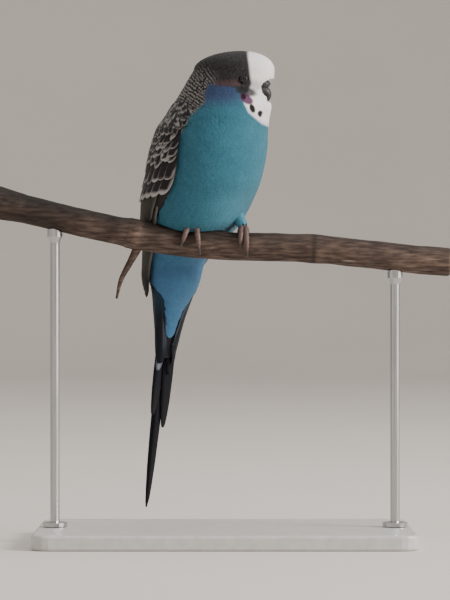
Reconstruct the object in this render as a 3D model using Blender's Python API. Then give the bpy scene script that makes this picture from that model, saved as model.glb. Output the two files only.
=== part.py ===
"""A perched budgerigar as a still, life-size model on a plain display stand.

X runs to the viewer's right, Y away from the viewer and Z up, in metres.
The origin is the centre of the underside of the stand's base.
The chest faces right and towards the viewer, and the head looks along +X.

The body is one stack of level oval sections, and every feather is placed on it by
a height and an angle: 0 is the breastbone, 90 the bird's side, 180 the spine.
"""
import math
import random

import bmesh
import bpy
from mathutils import Vector

MM = 0.001
GAP = 0.3 * MM
SEED = 12

# Stand and perch
BASE_LENGTH = 150 * MM
BASE_DEPTH = 92 * MM
BASE_HEIGHT = 6 * MM
BASE_CORNER = 7 * MM
BASE_EDGE = 1.0 * MM
ROD_RADIUS = 1.9 * MM
ROD_FOOT_RADIUS = 5.0 * MM
ROD_FOOT_HEIGHT = 1.6 * MM
ROD_CRADLE_RADIUS = 3.1 * MM
ROD_CRADLE_HEIGHT = 5 * MM
ROD_PLACES = {"L": -68 * MM, "R": 68 * MM}
PERCH_PATH = ((-92, 135.8), (-80, 133.2), (-60, 128.4), (-42, 124.4), (-20, 120.2), (0, 118.4),
              (22, 117.8), (40, 117.0), (60, 114.8), (76, 113.0), (90, 112.0))
PERCH_RADIUS = 5.7 * MM
PERCH_FLARE = 1.3 * MM
PERCH_SIDES = 16
PERCH_RINGS = 28
# Swellings of the perch at a node and a knot: place along it, height and half length
PERCH_SWELLS = ((-36.0, 0.6, 4.5), (35.5, 0.35, 4.0))
TWIG_PATH = ((-33.5, 0, 121.5), (-35.8, -0.5, 116), (-38.4, -0.8, 111), (-41.6, -0.5, 104.8),
             (-43.4, 0.5, 97.4))
TWIG_RADII = (2.4, 1.7, 1.3, 0.95, 0.45)

# Body sections: height, centre x, centre y, half depth, half width, direction the front faces
BODY = (
    (72.0, -24.7, 25.6, 1.5, 3.6, 50),
    (80.4, -23.7, 24.4, 2.6, 5.4, 50),
    (87.0, -22.9, 23.5, 3.6, 6.6, 50),
    (93.6, -22.1, 22.5, 5.4, 8.2, 50),
    (100.0, -21.0, 21.2, 7.5, 9.7, 50),
    (106.4, -20.4, 20.5, 9.6, 11.3, 50),
    (112.0, -19.6, 19.5, 10.6, 12.0, 50),
    (118.0, -17.2, 16.7, 13.6, 14.2, 50),
    (124.0, -14.2, 13.1, 17.2, 17.0, 50),
    (128.0, -12.8, 11.4, 19.8, 18.7, 50),
    (135.2, -10.8, 9.0, 22.0, 20.6, 50),
    (144.8, -7.8, 5.5, 23.5, 21.2, 50),
    (156.8, -5.6, 2.9, 23.6, 21.6, 50),
    (164.0, -4.7, 1.2, 22.6, 20.8, 42),
    (168.8, -3.2, -1.0, 21.3, 19.2, 30),
    (173.6, -1.6, -3.6, 20.2, 16.2, 13),
    (177.0, -0.6, -5.4, 18.6, 13.6, 6),
    (180.8, 0.5, -7.0, 17.3, 12.0, 4),
    (184.4, 2.3, -8.0, 17.0, 11.0, 4),
    (188.0, 3.6, -8.6, 16.0, 10.5, 4),
)
CROWN_TOP = 195.6
CROWN_X = 5.6
CROWN_Y = -9.0
CROWN_RINGS = (0.3, 0.55, 0.75, 0.89, 0.97)
BODY_SIDES = 36
CHEST_YAW = 50
SECTION_STEP = 3.4

# Cuts between the named parts: a point on the axis and the tilt of the plane towards the front
HEAD_CUT = (174.0, 16)
NECK_CUT = (165.6, 22)
TAIL_CUT = (110.5, -8)

# Face, placed by forward and sideways distance from the head's upright axis
FACE_AXIS = (3.0, -8.2)
FACE_YAW = 4
EYE_FORWARD = 6.4
EYE_HEIGHT = 183.8
EYE_RADIUS = 2.3
EYE_DEPTH = 1.75
LID_RADIUS = 1.45
LID_THICKNESS = 0.45
CERE_CENTRE = (12.4, 182.5)
CERE_SIZE = (2.6, 3.0, 1.9)
NOSTRIL_SIDE = 1.25
NOSTRIL_RADIUS = 0.5
UPPER_BILL = ((9.6, 179.9, 2.2, 2.7), (11.6, 180.0, 2.1, 2.6), (13.2, 179.4, 1.9, 2.2),
              (14.1, 178.3, 1.4, 1.7), (14.3, 177.1, 0.9, 1.1), (14.0, 175.8, 0.35, 0.4))
LOWER_BILL = ((9.4, 176.6, 1.1, 2.1), (10.8, 176.5, 1.0, 1.9), (12.0, 176.2, 0.8, 1.3),
              (12.7, 175.9, 0.4, 0.6))
HOLLOW_CENTRE = (16.0, 180.9)
HOLLOW_SIZE = (6.4, 9.0, 3.4)

# Wing: height with the angles of its front and spine edges
WING_EDGES = ((97, 134, 150), (104, 126, 155), (112, 121, 160), (120, 114, 164), (128, 99, 166),
              (135, 81, 166), (145, 76, 163), (157, 76.5, 156), (165, 79, 144), (169, 84, 132), (172.6, 95, 113))
WING_CORE_HEIGHTS = (122, 127, 133, 140, 147, 154, 160, 165, 169, 171.4, 172.6)
WING_CORE_COLUMNS = 8
WING_CORE_LIFT = 2.0
WING_CORE_EDGE = 0.85
VANE_THICKNESS = 0.6
VANE_STATIONS = (0.0, 0.38, 0.72, 0.93, 1.0)
VANE_WIDTHS = (0.75, 1.0, 0.98, 0.66, 0.22)
VANE_RIDGE = 0.12

# Tail, in its own frame: pairs from the long middle feathers out to the short outer ones,
# for the bird's right side, 1, and its left, -1
TAIL_TOP = (-19.9, 19.9, 112.0)
TAIL_DROP = (-0.1185, 0.1412, -1.0)
TAIL_ROOT = 14.0
TAIL_TIPS = {1: (102.6, 64.0, 45.0, 35.0, 27.5, 21.0), -1: (100.9, 69.3, 46.5, 35.0, 27.5, 21.0)}
TAIL_HALF_WIDTHS = (2.0, 2.9, 3.1, 3.1, 3.0, 2.8)
TAIL_SPREAD = {1: (1.0, 2.2, 2.8, 3.3, 3.9, 4.5), -1: (0.6, 3.6, 3.0, 3.3, 3.9, 4.5)}
TAIL_UNEVEN = 0.6
TAIL_LAYER = 0.42
TAIL_BACK = 2.2

# Legs and feet: where each foot stands along the perch, and where its leg enters the belly
FOOT_PLACES = {"R": -12.6, "L": 7.4}
LEG_TOPS = {"R": (-14.5, 7.0, 135.0), "L": (2.2, 5.0, 136.0)}
LEG_RADII = (1.35, 2.0, 3.1)
FOOT_PAD = (2.0, 2.1, 1.15)
TOE_RADII = (1.15, 1.1, 1.05, 1.0, 0.95, 0.85)
CLAW_RADII = (0.5, 0.34, 0.12)
# Each toe: name, shift along the perch at its base and tip, how far round the perch it grips
TOES = {
    "R": (("outer_front", 0.9, 2.8, 132), ("inner_front", -0.9, -5.4, 116),
          ("outer_hind", 1.0, 2.6, -128), ("inner_hind", -0.9, -2.4, -92)),
    "L": (("outer_front", 0.8, 1.6, 132), ("inner_front", -0.8, -1.4, 104),
          ("outer_hind", 1.0, 2.6, -128), ("inner_hind", -0.9, -2.4, -92)),
}

COLOURS = {
    "blue": ((0.12, 0.38, 0.56), 0.8),
    "white": ((0.75, 0.74, 0.72), 0.8),
    "barred": ((0.16, 0.15, 0.15), 0.8),
    "dark": ((0.03, 0.04, 0.07), 0.6),
    "eye": ((0.005, 0.005, 0.006), 0.1),
    "cere": ((0.10, 0.08, 0.12), 0.5),
    "horn": ((0.22, 0.21, 0.13), 0.35),
    "foot": ((0.35, 0.22, 0.21), 0.6),
    "bark": ((0.10, 0.07, 0.05), 0.9),
    "stand": ((0.55, 0.54, 0.52), 0.4),
}


def material(name):
    colour, roughness = COLOURS[name]
    made = bpy.data.materials.get(name) or bpy.data.materials.new(name)
    made.use_nodes = True
    shader = made.node_tree.nodes["Principled BSDF"]
    shader.inputs["Base Color"].default_value = (*colour, 1)
    shader.inputs["Roughness"].default_value = roughness
    shader.inputs["Metallic"].default_value = 0.0
    return made


def add_object(name, bm, colour=None):
    """Turn a bmesh into an object, faces outward, shaded smooth except at sharp edges."""
    bmesh.ops.recalc_face_normals(bm, faces=bm.faces[:])
    if bm.calc_volume(signed=True) < 0:
        bmesh.ops.reverse_faces(bm, faces=bm.faces[:])
    mesh = bpy.data.meshes.new(name)
    bm.to_mesh(mesh)
    bm.free()
    mesh.shade_smooth()
    mesh.set_sharp_from_angle(angle=math.radians(40))
    made = bpy.data.objects.new(name, mesh)
    bpy.context.scene.collection.objects.link(made)
    if colour:
        mesh.materials.append(material(colour))
    return made


def bake_modifiers(target):
    """Apply the object's modifiers and keep only its largest closed surface."""
    bpy.context.view_layer.update()
    graph = bpy.context.evaluated_depsgraph_get()
    mesh = bpy.data.meshes.new_from_object(target.evaluated_get(graph))
    target.modifiers.clear()
    target.data = mesh
    bm = bmesh.new()
    bm.from_mesh(mesh)
    bmesh.ops.remove_doubles(bm, verts=bm.verts[:], dist=0.002 * MM)
    unseen = set(bm.verts)
    shells = []
    while unseen:
        shell = []
        queue = [unseen.pop()]
        while queue:
            vert = queue.pop()
            shell.append(vert)
            for edge in vert.link_edges:
                other = edge.other_vert(vert)
                if other in unseen:
                    unseen.remove(other)
                    queue.append(other)
        shells.append(shell)
    shells.sort(key=len)
    for shell in shells[:-1]:
        bmesh.ops.delete(bm, geom=shell, context="VERTS")
    bm.to_mesh(mesh)
    bm.free()
    mesh.shade_smooth()
    mesh.set_sharp_from_angle(angle=math.radians(40))


def combine(target, others, operation, solver="EXACT"):
    """Join the other objects to the target, or cut them out of it, and remove them."""
    group = bpy.data.collections.new(target.name + "_pieces")
    for other in others:
        bpy.context.scene.collection.objects.unlink(other)
        group.objects.link(other)
    bpy.context.scene.collection.children.link(group)
    boolean = target.modifiers.new(operation.lower(), "BOOLEAN")
    boolean.operation = operation
    boolean.operand_type = "COLLECTION"
    boolean.collection = group
    boolean.solver = solver
    bake_modifiers(target)
    for other in list(group.objects):
        bpy.data.objects.remove(other)
    bpy.data.collections.remove(group)


def cut_away(target, shapes):
    """Cut closed shapes out of the target, one after the other."""
    for shape in shapes:
        combine(target, [add_object("cutter", shape)], "DIFFERENCE")


def interpolate(rows, at, column):
    """Smooth value of one column of rows at a height, by a cubic through the rows."""
    heights = [row[0] for row in rows]
    values = [row[column] for row in rows]
    if at <= heights[0]:
        return values[0]
    if at >= heights[-1]:
        return values[-1]
    k = max(i for i in range(len(rows) - 1) if heights[i] <= at)
    span = heights[k + 1] - heights[k]
    rise = (values[k + 1] - values[k]) / span

    def slope(i):
        low = max(i - 1, 0)
        high = min(i + 1, len(rows) - 1)
        return (values[high] - values[low]) / (heights[high] - heights[low])

    limit = 3 * abs(rise)
    start = max(-limit, min(limit, slope(k)))
    end = max(-limit, min(limit, slope(k + 1)))
    t = (at - heights[k]) / span
    return ((2 * t**3 - 3 * t**2 + 1) * values[k] + (t**3 - 2 * t**2 + t) * span * start
            + (3 * t**2 - 2 * t**3) * values[k + 1] + (t**3 - t**2) * span * end)


def section(height):
    """Centre, half depth, half width and front direction of the body at a height."""
    x, y, depth, width, yaw = (interpolate(BODY, height, column) for column in range(1, 6))
    top = BODY[-1][0]
    if height > top:
        rise = min((height - top) / (CROWN_TOP - top), 1.0)
        shrink = math.sqrt(max(1 - rise * rise, 0.0))
        x += (CROWN_X - x) * rise * rise
        y += (CROWN_Y - y) * rise * rise
        depth *= shrink
        width *= shrink
    return x, y, depth, width, yaw


def directions(yaw):
    """The forward direction and the bird's right for a front that faces this way."""
    angle = math.radians(yaw)
    forward = Vector((math.cos(angle), -math.sin(angle), 0))
    right = Vector((-math.sin(angle), -math.cos(angle), 0))
    return forward, right


def skin_point(height, angle):
    """Point of the body's surface, its angle measured from the section's own front."""
    x, y, depth, width, yaw = section(height)
    forward, right = directions(yaw)
    turn = math.radians(angle)
    return (Vector((x, y, height)) + forward * depth * math.cos(turn)
            + right * width * math.sin(turn)) * MM


def skin_normal(height, angle):
    step = 0.5
    around = skin_point(height, angle + step) - skin_point(height, angle - step)
    up = skin_point(height + step, angle) - skin_point(height - step, angle)
    return up.cross(around).normalized()


def lifted(height, angle, lift):
    """Point above the body's surface, its angle measured from the breastbone of the torso."""
    local = angle + CHEST_YAW - section(height)[4]
    return skin_point(height, local) + skin_normal(height, local) * lift * MM


def loft(rings):
    """Closed surface through rings of points, with flat ends."""
    bm = bmesh.new()
    rows = [[bm.verts.new(point) for point in ring] for ring in rings]
    count = len(rows[0])
    for low, high in zip(rows, rows[1:]):
        for i in range(count):
            j = (i + 1) % count
            bm.faces.new((low[i], low[j], high[j], high[i]))
    bm.faces.new(reversed(rows[0]))
    bm.faces.new(rows[-1])
    return bm


def tube(path, radii, sides=8, squash=1.0, grow=0.0, side_hint=Vector((1, 0, 0))):
    """Round tapered tube along a path of points, wider than it is deep where squash is below 1."""
    rings = []
    points = [Vector(point) for point in path]
    for i, centre in enumerate(points):
        along = (points[min(i + 1, len(points) - 1)] - points[max(i - 1, 0)]).normalized()
        side = (side_hint - along * side_hint.dot(along)).normalized()
        other = along.cross(side)
        radius = radii[i] + grow
        rings.append([centre + side * radius * math.cos(2 * math.pi * k / sides)
                      + other * radius * squash * math.sin(2 * math.pi * k / sides)
                      for k in range(sides)])
    return loft(rings)


def ellipsoid(centre, sizes, axes, segments=16, rings=8):
    """Closed rounded body with its three half sizes along three axes."""
    bm = bmesh.new()
    bmesh.ops.create_uvsphere(bm, u_segments=segments, v_segments=rings, radius=1.0)
    for vert in bm.verts:
        local = vert.co.copy()
        vert.co = centre + sum((axis * size * amount for axis, size, amount
                                in zip(axes, sizes, local)), Vector())
    return bm


def slab(outer, inner):
    """Closed thin body between two grids of points, both faces split into like triangles."""
    bm = bmesh.new()
    top = [[bm.verts.new(point) for point in row] for row in outer]
    under = [[bm.verts.new(point) for point in row] for row in inner]
    rows = len(top)
    columns = len(top[0])
    for i in range(rows - 1):
        for j in range(columns - 1):
            for grid in (top, under):
                a, b, c, d = grid[i][j], grid[i][j + 1], grid[i + 1][j + 1], grid[i + 1][j]
                bm.faces.new((a, b, c))
                bm.faces.new((a, c, d))
    rim = [(0, j) for j in range(columns)]
    rim += [(i, columns - 1) for i in range(1, rows)]
    rim += [(rows - 1, j) for j in range(columns - 2, -1, -1)]
    rim += [(i, 0) for i in range(rows - 2, 0, -1)]
    for (i, j), (k, m) in zip(rim, rim[1:] + rim[:1]):
        bm.faces.new((top[i][j], top[k][m], under[k][m]))
        bm.faces.new((top[i][j], under[k][m], under[i][j]))
    return bm


def along_skin_vane(side, root, tip, half_width, lifts):
    """Feather that hugs the body from root to tip, each a height and an angle."""
    outer = []
    inner = []
    for t, width in zip(VANE_STATIONS, VANE_WIDTHS):
        height = root[0] + (tip[0] - root[0]) * t
        angle = root[1] + (tip[1] - root[1]) * t
        lift = lifts[0] + (lifts[1] - lifts[0]) * t
        radius = sum(section(height)[2:4]) / 2 + lift
        spread = math.degrees(half_width * width / radius)
        upper = []
        lower = []
        for across in (-1, 0, 1):
            ridge = VANE_RIDGE * (1 - abs(across))
            place = side * (angle + across * spread)
            upper.append(lifted(height, place, lift + ridge + VANE_THICKNESS / 2))
            lower.append(lifted(height, place, lift + ridge - VANE_THICKNESS / 2))
        outer.append(upper)
        inner.append(lower)
    return slab(outer, inner)


def body_heights():
    count = round((BODY[-1][0] - BODY[0][0]) / SECTION_STEP)
    heights = [BODY[0][0] + (BODY[-1][0] - BODY[0][0]) * i / count for i in range(count + 1)]
    crown = CROWN_TOP - BODY[-1][0]
    return heights + [BODY[-1][0] + crown * rise for rise in CROWN_RINGS]


def trunk():
    """Head, neck, torso and the core of the tail as one closed surface."""
    return loft([[skin_point(height, 360 * k / BODY_SIDES) for k in range(BODY_SIDES)]
                 for height in body_heights()])


def trunk_clearance():
    """The trunk below the crown, grown by the gap that the wings keep from it."""
    return loft([[skin_point(height, angle) + skin_normal(height, angle) * GAP
                  for angle in (360 * k / BODY_SIDES for k in range(BODY_SIDES))]
                 for height in body_heights() if height < BODY[-1][0]])


def cut_plane(cut, shift=0.0):
    """Point and upward normal of a cut across the body, moved along its normal."""
    height, tilt = cut
    x, y, _, _, yaw = section(height)
    forward, _ = directions(yaw)
    angle = math.radians(tilt)
    normal = (forward * math.sin(angle) + Vector((0, 0, math.cos(angle)))).normalized()
    return Vector((x, y, height)) * MM + normal * shift, normal


def between(lower=None, upper=None):
    """The part of the trunk between two cuts, each face half a gap back from its cut."""
    bm = trunk()
    bmesh.ops.recalc_face_normals(bm, faces=bm.faces[:])
    for cut, sign in ((lower, -1), (upper, 1)):
        if cut is None:
            continue
        point, normal = cut_plane(cut, -sign * GAP / 2)
        found = bmesh.ops.bisect_plane(bm, geom=bm.verts[:] + bm.edges[:] + bm.faces[:],
                                       dist=1e-7, plane_co=point, plane_no=normal * sign,
                                       clear_outer=True)
        edges = [item for item in found["geom_cut"] if isinstance(item, bmesh.types.BMEdge)]
        bmesh.ops.edgeloop_fill(bm, edges=edges)
    return bm


def face_point(forward_by, right_by, height):
    forward, right = directions(FACE_YAW)
    start = Vector((FACE_AXIS[0], FACE_AXIS[1], height))
    return (start + forward * forward_by + right * right_by) * MM


def eye_place(side):
    """Surface point and outward normal where an eye sits."""
    _, _, depth, _, _ = section(EYE_HEIGHT)
    angle = side * math.degrees(math.acos(EYE_FORWARD / depth))
    return skin_point(EYE_HEIGHT, angle), skin_normal(EYE_HEIGHT, angle)


def eye_ball(side, grow=0.0):
    point, normal = eye_place(side)
    flat = normal.orthogonal().normalized()
    radius = EYE_RADIUS * MM + grow
    return ellipsoid(point - normal * EYE_DEPTH * MM, (radius, radius, radius),
                     (flat, normal.cross(flat), normal), 14, 8)


def lid_ring(side):
    """Raised rim of the lids round an eye."""
    point, normal = eye_place(side)
    flat = normal.orthogonal().normalized()
    other = normal.cross(flat)
    around = 16
    thick = 6
    bm = bmesh.new()
    rings = []
    for i in range(around):
        turn = 2 * math.pi * i / around
        out = flat * math.cos(turn) + other * math.sin(turn)
        centre = point + out * (LID_RADIUS + LID_THICKNESS) * MM
        rings.append([bm.verts.new(centre + (out * math.cos(2 * math.pi * k / thick)
                                             + normal * math.sin(2 * math.pi * k / thick))
                                   * LID_THICKNESS * MM) for k in range(thick)])
    for i in range(around):
        low, high = rings[i], rings[(i + 1) % around]
        for k in range(thick):
            m = (k + 1) % thick
            bm.faces.new((low[k], low[m], high[m], high[k]))
    return bm


def cere(grow=0.0):
    forward, right = directions(FACE_YAW)
    sizes = [size * MM + grow for size in CERE_SIZE]
    return ellipsoid(face_point(CERE_CENTRE[0], 0, CERE_CENTRE[1]), sizes,
                     (forward, right, Vector((0, 0, 1))), 16, 8)


def nostril(side):
    forward, right = directions(FACE_YAW)
    place = face_point(CERE_CENTRE[0] + CERE_SIZE[0] * 0.85, side * NOSTRIL_SIDE, CERE_CENTRE[1] + 0.5)
    radius = NOSTRIL_RADIUS * MM
    return ellipsoid(place, (radius, radius, radius), (forward, right, Vector((0, 0, 1))), 8, 6)


def bill(rows, grow=0.0):
    """Half of the bill: rows of forward distance, height, half height and half width."""
    _, right = directions(FACE_YAW)
    path = [face_point(forward_by, 0, height) for forward_by, height, _, _ in rows]
    rings = []
    sides = 12
    for i, centre in enumerate(path):
        along = (path[min(i + 1, len(path) - 1)] - path[max(i - 1, 0)]).normalized()
        up = right.cross(along)
        tall = rows[i][2] * MM + grow
        wide = rows[i][3] * MM + grow
        rings.append([centre + right * wide * math.cos(2 * math.pi * k / sides)
                      + up * tall * math.sin(2 * math.pi * k / sides) for k in range(sides)])
    return loft(rings)


def head():
    made = add_object("head", between(lower=HEAD_CUT), "white")
    combine(made, [add_object("lid", lid_ring(side)) for side in (-1, 1)], "UNION")
    forward, right = directions(FACE_YAW)
    hollow = ellipsoid(face_point(HOLLOW_CENTRE[0], 0, HOLLOW_CENTRE[1]),
                       [size * MM for size in HOLLOW_SIZE], (forward, right, Vector((0, 0, 1))),
                       20, 12)
    cutters = [eye_ball(-1, GAP), eye_ball(1, GAP), hollow, cere(GAP), bill(UPPER_BILL, GAP),
               bill(LOWER_BILL, GAP)]
    cut_away(made, cutters)


def face():
    for side, letter in ((1, "R"), (-1, "L")):
        add_object("eye_" + letter, eye_ball(side), "eye")
    add_object("bill_upper", bill(UPPER_BILL), "horn")
    lower = add_object("bill_lower", bill(LOWER_BILL), "horn")
    pad = add_object("cere", cere(), "cere")
    cut_away(pad, [nostril(-1), nostril(1), bill(UPPER_BILL, GAP)])
    cut_away(lower, [bill(UPPER_BILL, GAP)])


def perch_height(x):
    """Height of the perch's axis, in millimetres, at a place along it."""
    return interpolate(PERCH_PATH, x, 1)


def perch_radius(x):
    flare = max(0.0, (-80 - x) / 12)
    swell = sum(height * math.exp(-((x - place) / half) ** 2) for place, height, half in PERCH_SWELLS)
    return PERCH_RADIUS + PERCH_FLARE * flare + swell * MM


def perch_wood(grow=0.0):
    """Cut length of branch, without its side twig."""
    rings = []
    first, last = PERCH_PATH[0][0], PERCH_PATH[-1][0]
    for i in range(PERCH_RINGS + 1):
        x = first + (last - first) * i / PERCH_RINGS
        slope = perch_height(x + 1) - perch_height(x - 1)
        along = Vector((2, 0, slope)).normalized()
        up = Vector((-along.z, 0, along.x))
        radius = perch_radius(x) + grow
        rings.append([Vector((x, 0, perch_height(x))) * MM + (Vector((0, 1, 0)) * math.cos(turn)
                      + up * math.sin(turn)) * radius
                      for turn in (2 * math.pi * k / PERCH_SIDES for k in range(PERCH_SIDES))])
    return loft(rings)


def perch():
    made = add_object("perch_branch", perch_wood(), "bark")
    twig = tube([Vector(point) * MM for point in TWIG_PATH], [r * MM for r in TWIG_RADII], 8)
    combine(made, [add_object("twig", twig)], "UNION")


def base_outline(height):
    """Rectangle with round corners, as one ring of points."""
    ring = []
    steps = 5
    for corner, (sx, sy) in enumerate(((1, 1), (-1, 1), (-1, -1), (1, -1))):
        centre = Vector((sx * (BASE_LENGTH / 2 - BASE_CORNER), sy * (BASE_DEPTH / 2 - BASE_CORNER), height))
        for k in range(steps):
            turn = math.radians(90 * (corner + k / (steps - 1)))
            ring.append(centre + Vector((math.cos(turn), math.sin(turn), 0)) * BASE_CORNER)
    return ring


def stand():
    base = add_object("stand_base", loft([base_outline(0), base_outline(BASE_HEIGHT)]), "stand")
    bevel = base.modifiers.new("edges", "BEVEL")
    bevel.width = BASE_EDGE
    bevel.segments = 2
    bevel.angle_limit = math.radians(60)
    for letter, x in ROD_PLACES.items():
        foot = BASE_HEIGHT + GAP
        top = perch_height(x / MM) * MM
        cradle = top - perch_radius(x / MM) - ROD_CRADLE_HEIGHT
        path = ((x, 0, foot), (x, 0, foot + ROD_FOOT_HEIGHT), (x, 0, foot + 1.3 * ROD_FOOT_HEIGHT),
                (x, 0, cradle), (x, 0, cradle + ROD_CRADLE_HEIGHT / 2), (x, 0, top))
        radii = (ROD_FOOT_RADIUS, ROD_FOOT_RADIUS, ROD_RADIUS, ROD_RADIUS, ROD_CRADLE_RADIUS,
                 ROD_CRADLE_RADIUS)
        made = add_object("stand_rod_" + letter, tube(path, radii, 16), "stand")
        cut_away(made, [perch_wood(GAP)])


def grip_point(x, turn, lift):
    """Point round the perch at x: turn 0 is on top, 90 at the front, lift above the bark."""
    angle = math.radians(turn)
    radius = perch_radius(x) + lift * MM
    return Vector((x * MM, -math.sin(angle) * radius, perch_height(x) * MM + math.cos(angle) * radius))


def toe(letter, spec, grow=0.0):
    """One toe with its claw, wrapped round the perch."""
    _, base_shift, tip_shift, reach = spec
    start = FOOT_PLACES[letter]
    clear = GAP / MM
    radii = list(TOE_RADII) + list(CLAW_RADII)
    path = []
    for i, radius in enumerate(radii):
        t = i / (len(radii) - 1)
        turn = reach * (0.06 + 0.94 * t)
        x = start + base_shift + (tip_shift - base_shift) * t
        arch = 0.35 * math.sin(math.pi * min(t * 1.4, 1.0))
        path.append(grip_point(x, turn, radius + clear + arch + 0.12))
    return tube(path, [radius * MM for radius in radii], 8, grow=grow)


def foot_pad(letter, grow=0.0):
    x = FOOT_PLACES[letter]
    sizes = [size * MM + grow for size in FOOT_PAD]
    return ellipsoid(grip_point(x, 0, FOOT_PAD[2] + 0.45), sizes,
                     (Vector((1, 0, 0)), Vector((0, 1, 0)), Vector((0, 0, 1))), 12, 8)


def shank(letter, grow=0.0):
    """Leg from the top of the foot up into the belly."""
    x = FOOT_PLACES[letter]
    low = grip_point(x, 0, FOOT_PAD[2] + 0.6)
    top = Vector(LEG_TOPS[letter]) * MM
    middle = low.lerp(top, 0.45) + Vector((0, -0.4 * MM, 0))
    return tube((low, middle, top), [radius * MM for radius in LEG_RADII], 12, grow=grow)


def legs_and_feet():
    for letter in ("R", "L"):
        foot = add_object("foot_" + letter, foot_pad(letter), "foot")
        toes = [add_object(spec[0], toe(letter, spec)) for spec in TOES[letter]]
        combine(foot, toes, "UNION")
        leg = add_object("leg_" + letter, shank(letter), "blue")
        cut_away(leg, [foot_pad(letter, GAP)] + [toe(letter, spec, GAP) for spec in TOES[letter]])


def neck_and_torso():
    add_object("neck", between(lower=NECK_CUT, upper=HEAD_CUT), "blue")
    torso = add_object("torso", between(lower=TAIL_CUT, upper=NECK_CUT), "blue")
    cutters = [perch_wood(GAP)]
    for letter in ("R", "L"):
        cutters.append(foot_pad(letter, GAP))
        cutters += [toe(letter, spec, GAP) for spec in TOES[letter]]
        cutters.append(shank(letter, GAP))
    cut_away(torso, cutters)


def tail_frame():
    """Start, downward direction, the bird's right and the belly side of the tail."""
    down = Vector(TAIL_DROP).normalized()
    _, right = directions(CHEST_YAW)
    belly = right.cross(down).normalized()
    return Vector(TAIL_TOP) * MM, down, right, belly


def tail_vane(pair, side, shorten):
    """Tail feather of a pair, straight from its root in the core to its tip."""
    start, down, right, belly = tail_frame()
    tip = TAIL_TIPS[side][pair] - shorten
    depth = TAIL_BACK - TAIL_LAYER * (2 * pair + (0.5 if side > 0 else 1.3))
    outer = []
    inner = []
    for t, width in zip(VANE_STATIONS, VANE_WIDTHS):
        down_by = TAIL_ROOT + (tip - TAIL_ROOT) * t
        spread = side * (0.5 + (TAIL_SPREAD[side][pair] - 0.5) * t**0.6 * (1 - 0.75 * t**3 * (pair == 0)))
        back = depth * (1 - 0.6 * t**2 * (pair == 0))
        upper = []
        lower = []
        for across in (-1, 0, 1):
            sideways = spread + across * TAIL_HALF_WIDTHS[pair] * width
            droop = 0.10 * abs(across) * TAIL_HALF_WIDTHS[pair] * width
            centre = start + (down * down_by + right * sideways - belly * (back - droop)) * MM
            upper.append(centre - belly * VANE_THICKNESS / 2 * MM)
            lower.append(centre + belly * VANE_THICKNESS / 2 * MM)
        outer.append(upper)
        inner.append(lower)
    return slab(outer, inner)


def tail(chance):
    made = add_object("tail", between(upper=TAIL_CUT), "dark")
    vanes = []
    for pair in range(len(TAIL_HALF_WIDTHS)):
        for side in (1, -1):
            vanes.append(tail_vane(pair, side, chance.uniform(0, TAIL_UNEVEN)))
    combine(made, [add_object("vane", vane) for vane in vanes], "UNION")


def wing_core(side):
    """Solid of the folded arm and the feather bases, hugging the flank."""
    outer = []
    inner = []
    for height in WING_CORE_HEIGHTS:
        front = interpolate(WING_EDGES, height, 1)
        spine = interpolate(WING_EDGES, height, 2)
        ends = (height - WING_CORE_HEIGHTS[0]) / (WING_CORE_HEIGHTS[-1] - WING_CORE_HEIGHTS[0])
        body = math.sqrt(max(0.0, 1 - (2 * ends - 1) ** 4))
        upper = []
        lower = []
        for j in range(WING_CORE_COLUMNS):
            v = j / (WING_CORE_COLUMNS - 1)
            fill = body * math.sqrt(max(0.0, 1 - (2 * v - 1) ** 4))
            lift = WING_CORE_EDGE + (WING_CORE_LIFT - WING_CORE_EDGE) * fill
            angle = side * (front + (spine - front) * v)
            upper.append(lifted(height, angle, lift))
            lower.append(lifted(height, angle, 0.0))
        outer.append(upper)
        inner.append(lower)
    return slab(outer, inner)


def tier(count, roots, tips, half_width, lifts, bow=0.0):
    """Feathers set side by side: first and last root and tip, each a height and an angle."""
    made = []
    for i in range(count):
        t = i / (count - 1)
        root = [roots[0][k] + (roots[1][k] - roots[0][k]) * t for k in range(2)]
        tip = [tips[0][k] + (tips[1][k] - tips[0][k]) * t for k in range(2)]
        tip[0] -= bow * math.sin(math.pi * t)
        made.append((root, tip, half_width, [lift + 0.22 * t for lift in lifts]))
    return made


def wing_vanes():
    """Tiers of the folded wing, from the long primaries up to the coverts."""
    primaries = tier(6, ((136, 90), (134, 138)), ((97.0, 110), (115, 157)), 2.8, (0.9, 2.6), 0.6)
    secondaries = tier(6, ((146, 94), (146, 149)), ((126, 110), (113.5, 158)), 3.0, (0.7, 2.2))
    greater = tier(7, ((152, 86), (155, 147)), ((134, 86), (133, 158)), 3.1, (0.5, 2.5))
    return primaries + secondaries + greater


def wing(side, letter, chance):
    made = add_object("wing_" + letter, wing_core(side), "barred")
    vanes = []
    for root, tip, half_width, lifts in wing_vanes():
        tip = (tip[0] + chance.uniform(-0.5, 0.5), tip[1] + chance.uniform(-0.6, 0.6))
        vanes.append(add_object("vane", along_skin_vane(side, root, tip, half_width, lifts)))
    combine(made, vanes, "UNION")
    cut_away(made, [trunk_clearance(), perch_wood(GAP)])


def main():
    for old in list(bpy.data.objects):
        bpy.data.objects.remove(old)
    chance = random.Random(SEED)
    stand()
    perch()
    legs_and_feet()
    neck_and_torso()
    head()
    face()
    tail(chance)
    for side, letter in ((1, "R"), (-1, "L")):
        wing(side, letter, chance)


main()
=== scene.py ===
"""Looks of the perched budgerigar: skin, feathers, face, feet, bark and stand.

X runs to the viewer's right, Y away from the viewer and Z up. Shapes are worked out in
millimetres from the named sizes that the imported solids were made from, and are turned
into metres when their mesh is made. The body is one stack of level oval sections, and a
place on it is a height and an angle: 0 is the breastbone, 90 the side, 180 the spine.
"""
import math

import bpy
import numpy as np
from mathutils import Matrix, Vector, noise


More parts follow.
